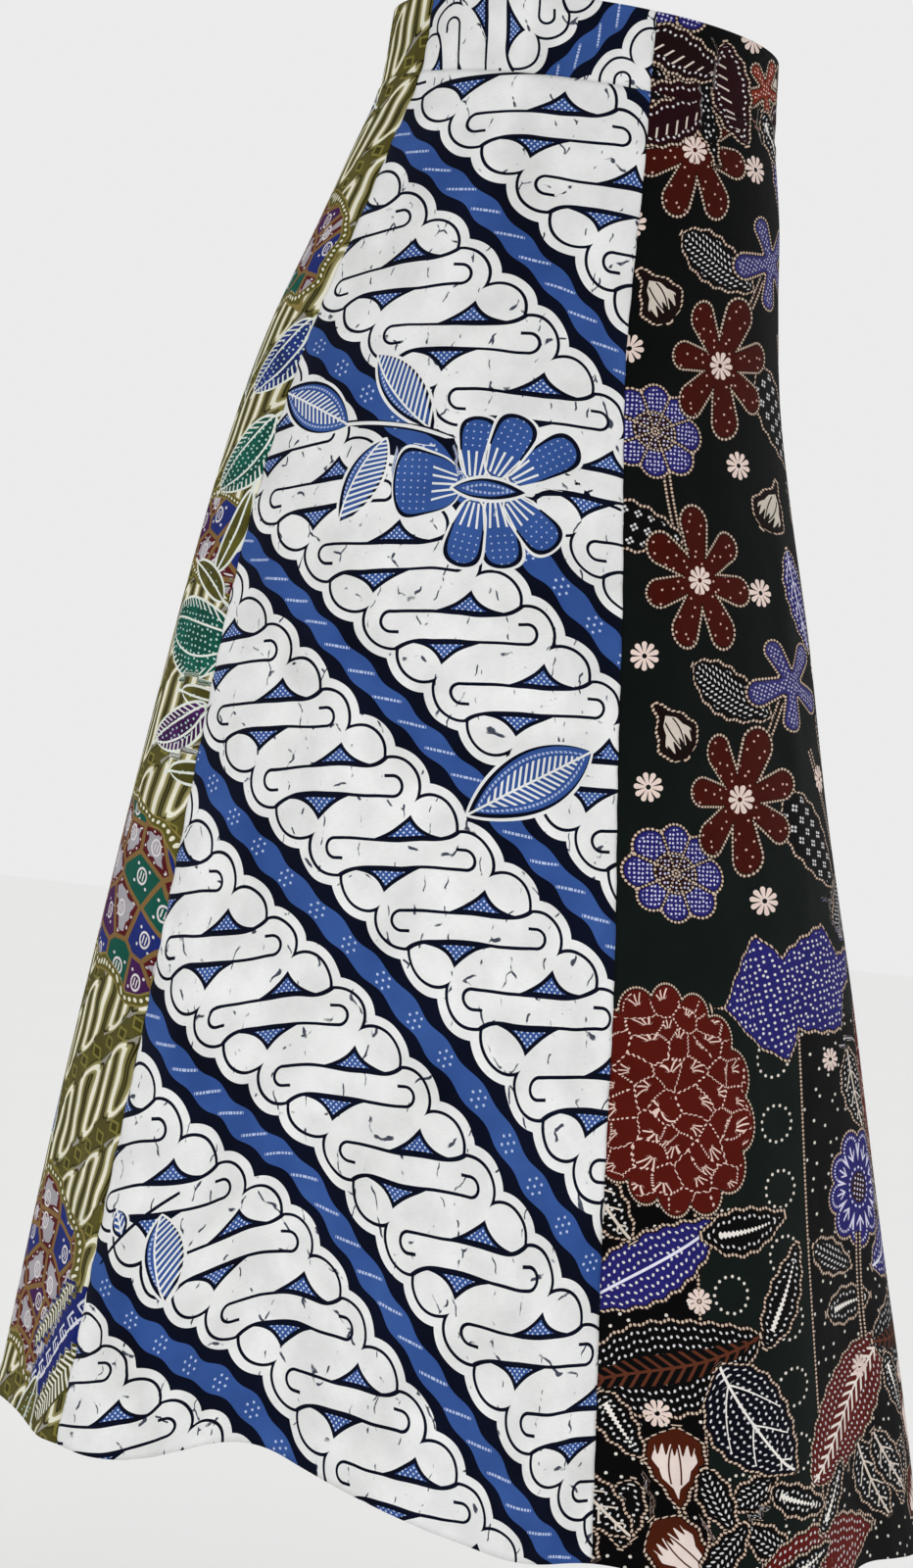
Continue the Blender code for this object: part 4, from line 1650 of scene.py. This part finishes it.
# %% Honeycomb
CELL_SIZE = 20
HONEYCOMB = group(
    "honeycomb",
    "CUT",
    "edge class rim pearls ring spots",
    (
        ("far hue spot", "TexVoronoi", "2D", "CUT", 1 / CELL_SIZE, 0.0, 0.5, 2.0, 0.9),
        ("edge", "TexVoronoi", CELL_EDGES, "CUT", 1 / CELL_SIZE, 0.0, 0.5, 2.0, 0.9),
        f"edge = edge * {CELL_SIZE}",
        ("class", "SeparateColor", {}, "hue"),
        ("local", "VectorMath", "SUBTRACT", "CUT", "spot"),
        ("i j w", "SeparateXYZ", {}, "local"),
        "swing = arctan2 j i",
        # Scalloped rim of the grey heart
        "rim = swing * 7.0 | sine | * 0.55 + edge | > 3.9",
        "t = swing * 7.5 | pingpong 2.6",
        "off = edge - 2.6",
        "pearls = hypot t off | < 0.6",
        # An oval ring with two bars in it
        "i_side = absolute i",
        "j_side = absolute j",
        "ring = i * 1.25 | hypot j | compare 4.1 0.65",
        "bars = compare i_side 1.0 0.4",
        "low = j_side < 2.3",
        "bars = bars * low",
        "ring = maximum ring bars",
        "i_side = i_side - 4.6",
        "j_side = j_side - 4.9",
        "spots = hypot i_side j_side | < 0.85",
    ),
)

# %% Islands, bands and fringed leaves
COMB, KEYS, TEETH = range(3)
RIBBON = 6.5
ISLAND = group(
    "island",
    "PLACE MAKE",
    "body ribbon ribbon_line bead comb keys teeth",
    (
        ("x y room", "SeparateXYZ", {}, "PLACE"),
        ("length width kind", "SeparateXYZ", {}, "MAKE"),
        "least = minimum length width",
        ("sway", "TexNoise", "2D", "PLACE", 0.045, 1.0),
        "sway = sway * 14.0 + -12.0",
        "is_comb = kind < 0.5",
        "sway = sway * is_comb",
        "edge = 1.0 - room | * least + sway",
        "body = edge > 0.0",
        f"ribbon = edge < {RIBBON} | * is_comb",
        f"middle = edge - {RIBBON / 2}",
        f"ribbon_line = absolute middle | > {RIBBON / 2 - 0.9} | * ribbon",
        "swing = arctan2 y x",
        "girth = length + width",
        "bead = swing * girth | * 0.5 | pingpong 2.0 | hypot middle | < 1.1 | * is_comb",
        "comb = is_comb - ribbon",
        # A chain of keys: square rings joined by short bars
        "i = wrap x 5.8 -5.8",
        "i_side = absolute i",
        "side = absolute y",
        "box = maximum i_side side | compare 3.0 0.6",
        "mouth = compare i 2.6 1.3",
        "mouth_y = compare y -1.0 1.1",
        "mouth = mouth * mouth_y",
        "shut = 1.0 - mouth",
        "box = box * shut",
        "bar = compare y 2.4 0.55",
        "tongue = compare i 0.0 0.5",
        "tongue_y = compare y 0.2 1.9",
        "tongue = tongue * tongue_y",
        "keys = maximum box bar | maximum tongue",
        f"is_keys = compare kind {KEYS} 0.4",
        "keys = keys * is_keys",
        # A comb of strokes across the band
        "teeth = side * 0.7 + x | pingpong 1.9 | < 0.85",
        "far = edge > 0.9",
        "teeth = teeth * far",
        f"is_teeth = compare kind {TEETH} 0.4",
        "teeth = teeth * is_teeth",
    ),
)
BROAD, SPRAY = range(2)
FRINGED = group(
    "fringed leaf",
    "PLACE MAKE",
    "body white dots",
    (
        ("x y room", "SeparateXYZ", {}, "PLACE"),
        ("length width kind", "SeparateXYZ", {}, "MAKE"),
        "a = x / length",
        "aa = a * a",
        "leaf = 1.0 - aa | maximum 0.0",
        "bend = leaf * -0.3 + 0.15 | * width",
        "y = y + bend",
        "leaf = power leaf 0.6",
        "lean = a * -0.15 + 0.9",
        "leaf = leaf * lean | * width",
        "side = absolute y",
        "edge = leaf - side",
        "in_room = room < 1.0",
        "body = edge > -0.9 | * in_room",
        "rim = edge < 0.5",
        "is_spray = kind > 0.5",
        "is_broad = 1.0 - is_spray",
        "fringe = side * 0.8 + x | pingpong 1.7 | < 0.55",
        "near = edge < 4.2",
        "fringe = fringe * near | * is_broad",
        "vein = leaf * 0.42",
        "vein = side - vein | absolute | < 0.6 | * is_broad",
        "mid = side < 0.6 | * is_spray",
        "white = maximum rim fringe | maximum vein | maximum mid",
        "inside = edge > 3.6",
        ("rows", "TexVoronoi", "2D", "PLACE", 0.3, 0.0, 0.5, 2.0, 0.4),
        "dots = rows < 0.19 | * inside",
    ),
)
print("groups", len(bpy.data.node_groups))

# %% Motifs of the olive cloth
TEAL, INDIGO_LEAF, PLUM, OLIVE_LEAF = "#0B5C4C", "#23347E", "#4A1A5C", "#5F5B22"
OLIVE_ISLANDS = (
    Motif(COMB, 66, 104, 0, 36, 42),
    Motif(COMB, 100, 276, 8, 42, 30),
    Motif(COMB, 104, 474, 6, 52, 52),
    Motif(COMB, 108, 694, 20, 46, 58),
    Motif(KEYS, 147, 712, -62, 46, 9),
    Motif(TEETH, 133, 704.5, -62, 46, 6),
    Motif(TEETH, 161, 719.5, -62, 44, 6),
    Motif(COMB, -66, 40, 0, 44, 38),
    Motif(COMB, -18, 196, -12, 48, 38),
    Motif(COMB, -96, 300, 14, 54, 44),
    Motif(COMB, 16, 392, 0, 38, 42),
    Motif(COMB, -112, 486, -8, 62, 46),
    Motif(COMB, -8, 604, 12, 60, 50),
    Motif(COMB, -170, 662, -14, 56, 54),
    Motif(KEYS, -72, 742, 12, 56, 6),
    Motif(TEETH, -74, 730, 12, 54, 5),
    Motif(TEETH, -70, 754, 12, 50, 5.5),
)
OLIVE_LEAVES = (
    Motif(BROAD, 95, 168, -66, 27, 14, INDIGO_LEAF),
    Motif(BROAD, 97, 227, -62, 27, 16, TEAL),
    Motif(SPRAY, 108, 268, -84, 24, 6, OLIVE_LEAF),
    Motif(SPRAY, 100, 297, -160, 16, 7, OLIVE_LEAF),
    Motif(BROAD, 104, 326, -12, 26, 23, TEAL),
    Motif(BROAD, 112, 375, -52, 22, 11, PLUM),
    Motif(SPRAY, 121, 354, -20, 15, 6, OLIVE_LEAF),
    Motif(SPRAY, 128, 392, -35, 15, 6, OLIVE_LEAF),
    Motif(SPRAY, 128, 766, -75, 26, 10, OLIVE_LEAF),
    Motif(BROAD, 20, 96, 60, 34, 20, TEAL),
    Motif(BROAD, -82, 132, 30, 36, 20, INDIGO_LEAF),
    Motif(BROAD, 42, 290, 100, 34, 20, PLUM),
    Motif(BROAD, -34, 300, -40, 32, 18, TEAL),
    Motif(BROAD, -68, 398, 20, 38, 20, INDIGO_LEAF),
    Motif(BROAD, 30, 496, -65, 34, 20, TEAL),
    Motif(BROAD, -144, 400, 70, 34, 18, PLUM),
    Motif(BROAD, -30, 508, 105, 34, 18, PLUM),
    Motif(BROAD, -88, 590, -30, 40, 24, TEAL),
    Motif(BROAD, 60, 602, 50, 34, 18, INDIGO_LEAF),
    Motif(BROAD, 36, 706, -20, 34, 20, PLUM),
    Motif(BROAD, -112, 690, 95, 34, 18, INDIGO_LEAF),
    Motif(BROAD, 26, 10, 10, 32, 17, PLUM),
    Motif(BROAD, -26, -22, -15, 34, 17, TEAL),
    Motif(SPRAY, 54, 172, 60, 26, 8, OLIVE_LEAF),
    Motif(SPRAY, -86, 214, -60, 28, 9, OLIVE_LEAF),
    Motif(SPRAY, 58, 392, -80, 28, 8, OLIVE_LEAF),
    Motif(SPRAY, -152, 560, 50, 28, 9, OLIVE_LEAF),
    Motif(SPRAY, 8, 742, -30, 30, 9, OLIVE_LEAF),
)
# Leaves that touch lie in two layers, and each layer has its own margin in mm
OLIVE_LAYERS = {
    "islands": (OLIVE_ISLANDS, 2),
    "fringed": (OLIVE_LEAVES[::2], 5),
    "feathered": (OLIVE_LEAVES[1::2], 5),
}
# The figures are printed wider toward the white gore's seam
OLIVE_FROM = (-320, 60, 120, 320)
OLIVE_TO = (-272, 51, 92, 192)


def olive_print(flat):
    return np.stack((np.interp(flat[:, 0], OLIVE_FROM, OLIVE_TO), flat[:, 1]), axis=1)


olive_maps = {
    "gore_back": olive_print(flats["gore_back"]),
    "band_back": olive_print(flats["band_back"] - (0, BAND_REACH)),
}
for name, values in olive_maps.items():
    lay_map(cloths[name], "print", values)
    for layer, (motifs, room) in OLIVE_LAYERS.items():
        press(cloths[name], values, layer, motifs, margin=room)
print({layer: len(motifs) for layer, (motifs, room) in OLIVE_LAYERS.items()})

# %% Olive batik cotton
# Dyed and waxed over many times, so it has the most colours, all muted by the brown last bath
olive_cloth, tree, known = new_cloth("olive batik cotton")
for layer in OLIVE_LAYERS:
    stamped(tree, known, layer)
reckon(
    tree,
    known,
    (
        ("uneven", "TexNoise", "2D", "CUT", 30.0, 4.0),
        ("cream khaki grey diamond core line", "Group", OLIVE_GROUND, "PRINT"),
        "tone = blend uneven #383413 #68622A",
        "tone = blend grey tone #99958C",
        "tone = blend khaki tone #A49D6B",
        "tone = blend line tone #1C1907",
        "tone = blend diamond tone #7D7636",
        "tone = blend core tone #3F3B14",
        "tone = blend cream tone #F0EDDA",
        ("edge class rim pearls ring spots", "Group", HONEYCOMB, "PRINT"),
        "is_red = class < 0.52",
        "is_blue = class < 0.74",
        "is_plum = class < 0.9",
        "cell = blend is_plum #0B5244 #43164F",
        "cell = blend is_blue cell #1C2A72",
        "cell = blend is_red cell #561019",
        "heart = rim * is_red",
        "cell = blend heart cell #A9A5AC",
        "open = 1.0 - is_red",
        "spots = spots * open",
        "pearls = pearls * is_red | maximum spots | maximum ring",
        "cell = blend pearls cell #DFD9DA",
        "wall = edge < 1.3",
        "cell = blend wall cell #82643A",
        ("body ribbon ribbon_line bead comb keys teeth", "Group", ISLAND, "islands_place", "islands_make"),
        "fill = blend comb #4F4A1B cell",
        ("kind_x kind_y kind", "SeparateXYZ", {}, "islands_make"),
        f"is_keys = compare kind {KEYS} 0.4",
        "fill = blend is_keys fill #17236A",
        "fill = blend ribbon fill #5C561F",
        "fill = blend ribbon_line fill #8A7A42",
        "fill = blend bead fill #E9E6CF",
        "fill = blend keys fill #DCDDE8",
        "fill = blend teeth fill #EDECDF",
        "tone = blend body tone fill",
        ("patchy", "TexNoise", "2D", "PRINT", 0.06, 2.0),
        ("patchy", "MapRange", {}, "patchy", 0.42, 0.6, 0.0, 1.0),
    ),
)
for layer in ("fringed", "feathered"):
    reckon(
        tree,
        known,
        (
            ("body white dots", "Group", FRINGED, layer + "_place", layer + "_make"),
            ("shade", "VectorMath", "SCALE", layer + "_fill", 0.6),
            f"fill = blend patchy shade {layer}_fill",
            "fill = blend dots fill #B9D8D2",
            "fill = blend white fill #E6EBE2",
            "tone = blend body tone fill",
        ),
    )
cotton(tree, known)
for name in olive_maps:
    cloths[name].data.materials.append(olive_cloth)
print("nodes in the olive cloth", len(tree.nodes))

# %% [markdown]
# # The zip
# A concealed zip closes the left back seam. Its tapes are woven polyester, its teeth are two moulded rows
# behind the seam, and the slider with its pull tab is die-cast zinc, dipped in enamel. The solids of the
# tapes, the slider and the pull have their real shapes, so they stay and only get their finishes here.

# %% Woven tape
HERRINGBONE = 2.4
TAPE_THREAD = 0.35
TAPE_RIB = 0.00009


def finish_of(name, base, metallic, ior):
    """An empty material with its constants set on the shader's own sockets."""
    made = bpy.data.materials.new(name)
    made.use_nodes = True
    shader = made.node_tree.nodes["Principled BSDF"]
    shader.inputs["Base Color"].default_value = dye(base)
    shader.inputs["Metallic"].default_value = metallic
    shader.inputs["IOR"].default_value = ior
    return made, made.node_tree, shader


tape_cloth, tree, shader = finish_of("black woven zip tape", "#141416", 0.0, 1.5)
known = {"place": add_node(tree, "TexCoord").outputs["Object"]}
# The weave is drawn a little coarser than the real 0.2 mm threads, so that it holds at this size
reckon(
    tree,
    known,
    (
        ("mm", "VectorMath", "SCALE", "place", 1000.0),
        ("x y z", "SeparateXYZ", {}, "mm"),
        "across = x * 0.79 + y",
        f"rib = pingpong across {HERRINGBONE / 2}",
        f"slant = rib + z | * {pi / TAPE_THREAD}",
        "twill = sine slant",
        ("fuzz", "TexNoise", {}, "mm", 1.7, 2.0),
        "twill = fuzz * 0.7 + twill",
        ("lit", "MapRange", {}, "twill", -0.6, 1.6, 0.0, 1.0),
        "tone = blend lit #0C0C0E #2B2B30",
        f"height = twill * {TAPE_RIB}",
        ("bump", "Bump", {}, 1.0, 1.0, 0.1, "height"),
        ("rough", "MapRange", {}, "fuzz", 0.3, 0.7, 0.62, 0.8),
    ),
)
tree.links.new(known["tone"], shader.inputs["Base Color"])
tree.links.new(known["bump"], shader.inputs["Normal"])
tree.links.new(known["rough"], shader.inputs["Roughness"])
shader.inputs["Sheen Weight"].default_value = 0.08

for name in ("zip_tape_back", "zip_tape_left"):
    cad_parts[name].material_slots[0].material = tape_cloth

# %% [markdown]
# ## Teeth
# On the real zip the teeth are moulded round the tapes' folded edges, behind the seam, and each row's
# teeth lie between those of the other. Here a tooth is a small bevelled block, set out along the seam on
# the tapes' inner side. One mesh holds a row, so that the two rows stay pieces of their own.

# %% Zip teeth
TEETH_TOP = -0.029
TEETH_BOTTOM = 0.156
TOOTH_PITCH = 0.0021
TOOTH = Vector((0.0032, 0.0007, 0.0013))
TOOTH_INSET = 0.0037
TOOTH_OFFSET = 0.0009
TOOTH_EDGE = 0.0002
SEAM_STEP = 0.001


def seam_frame(drop):
    """The place on the left back seam at a drop, and its directions sideways, outwards and upwards."""
    angle = float(seam_angle("left_back", drop))
    point = Vector(skirt_points(angle, drop))
    outwards = Vector(skirt_normals(angle, drop))
    higher = drop - SEAM_STEP
    above = Vector(skirt_points(float(seam_angle("left_back", higher)), higher))
    upwards = (above - point).normalized()
    along = outwards.cross(upwards).normalized()
    return point, along, along.cross(upwards) * -1, upwards


def tooth_row(name, side):
    """A row of teeth on one tape: side is 1 or -1."""
    body = bpy.data.objects.new(name, bpy.data.meshes.new(name))
    bpy.context.scene.collection.objects.link(body)
    teeth = bmesh.new()
    drops = np.arange(TEETH_TOP, TEETH_BOTTOM, TOOTH_PITCH) + side * TOOTH_PITCH / 4
    for drop in drops:
        point, along, outwards, upwards = seam_frame(drop)
        turn = Matrix((along, outwards, upwards)).transposed().to_4x4()
        centre = point - outwards * TOOTH_INSET + along * side * TOOTH_OFFSET
        size = Matrix.Diagonal((*TOOTH, 1))
        bmesh.ops.create_cube(teeth, size=1, matrix=Matrix.Translation(centre) @ turn @ size)
    bmesh.ops.bevel(
        teeth,
        geom=teeth.edges[:],
        offset=TOOTH_EDGE,
        offset_type="OFFSET",
        segments=1,
        profile=0.5,
        affect="EDGES",
        clamp_overlap=True,
        material=-1,
    )
    teeth.to_mesh(body.data)
    teeth.free()
    print(name, len(drops), "teeth,", len(body.data.polygons), "faces")
    return body


nylon, tree, shader = finish_of("black moulded zip teeth", "#17171A", 0.0, 1.41)
known = {"place": add_node(tree, "TexCoord").outputs["Object"]}
reckon(
    tree,
    known,
    (
        ("rub", "TexNoise", {}, "place", 900.0, 2.0),
        ("rough", "MapRange", {}, "rub", 0.35, 0.65, 0.28, 0.5),
        ("lit", "MapRange", {}, "rub", 0.3, 0.7, 0.0, 1.0),
        "tone = blend lit #111113 #26262A",
    ),
)
tree.links.new(known["tone"], shader.inputs["Base Color"])
tree.links.new(known["rough"], shader.inputs["Roughness"])

for name, side in (("zip_teeth_back", 1), ("zip_teeth_left", -1)):
    row = tooth_row(name, side)
    row.data.materials.append(nylon)
    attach(row, "skirt")

# %% [markdown]
# ## Slider and pull tab
# Both are cast zinc under a thin black enamel. The enamel is smooth and half glossy, with a faint orange
# peel, and fingers have rubbed it thin along the edges, where the warmer grey of the metal shows.

# %% Enamelled zinc
EDGE_REACH = 0.0005
ORANGE_PEEL = 0.00002

enamel, tree, shader = finish_of("black enamel over cast zinc", "#0D0D10", 0.0, 1.52)
known = {
    "place": add_node(tree, "TexCoord").outputs["Object"],
    "FACE": add_node(tree, "NewGeometry").outputs["Normal"],
    "ROUND": add_node(tree, "Bevel", (EDGE_REACH,), samples=4).outputs["Normal"],
}
reckon(
    tree,
    known,
    (
        ("same", "VectorMath", "DOT_PRODUCT", "FACE", "ROUND"),
        ("rub", "TexNoise", {}, "place", 700.0, 3.0),
        "bare = rub * -0.10 + 1.03 | - same",
        ("bare", "MapRange", {}, "bare", 0.0, 0.06, 0.0, 0.85),
        ("cloud", "TexNoise", {}, "place", 260.0, 2.0),
        "dark = blend cloud #09090B #1B1B20",
        "tone = blend bare dark #A7A49C",
        ("rough", "MapRange", {}, "cloud", 0.3, 0.7, 0.2, 0.34),
        ("peel", "TexNoise", {}, "place", 2600.0, 1.0),
        f"height = peel * {ORANGE_PEEL}",
        ("bump", "Bump", {}, 1.0, 1.0, 0.1, "height"),
    ),
)
ENAMEL_INPUTS = {"tone": "Base Color", "bare": "Metallic", "rough": "Roughness", "bump": "Normal"}
for name, target in ENAMEL_INPUTS.items():
    tree.links.new(known[name], shader.inputs[target])
for name in ("zip_slider", "zip_pull"):
    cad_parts[name].material_slots[0].material = enamel
print("finished", sorted(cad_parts)[-4:])
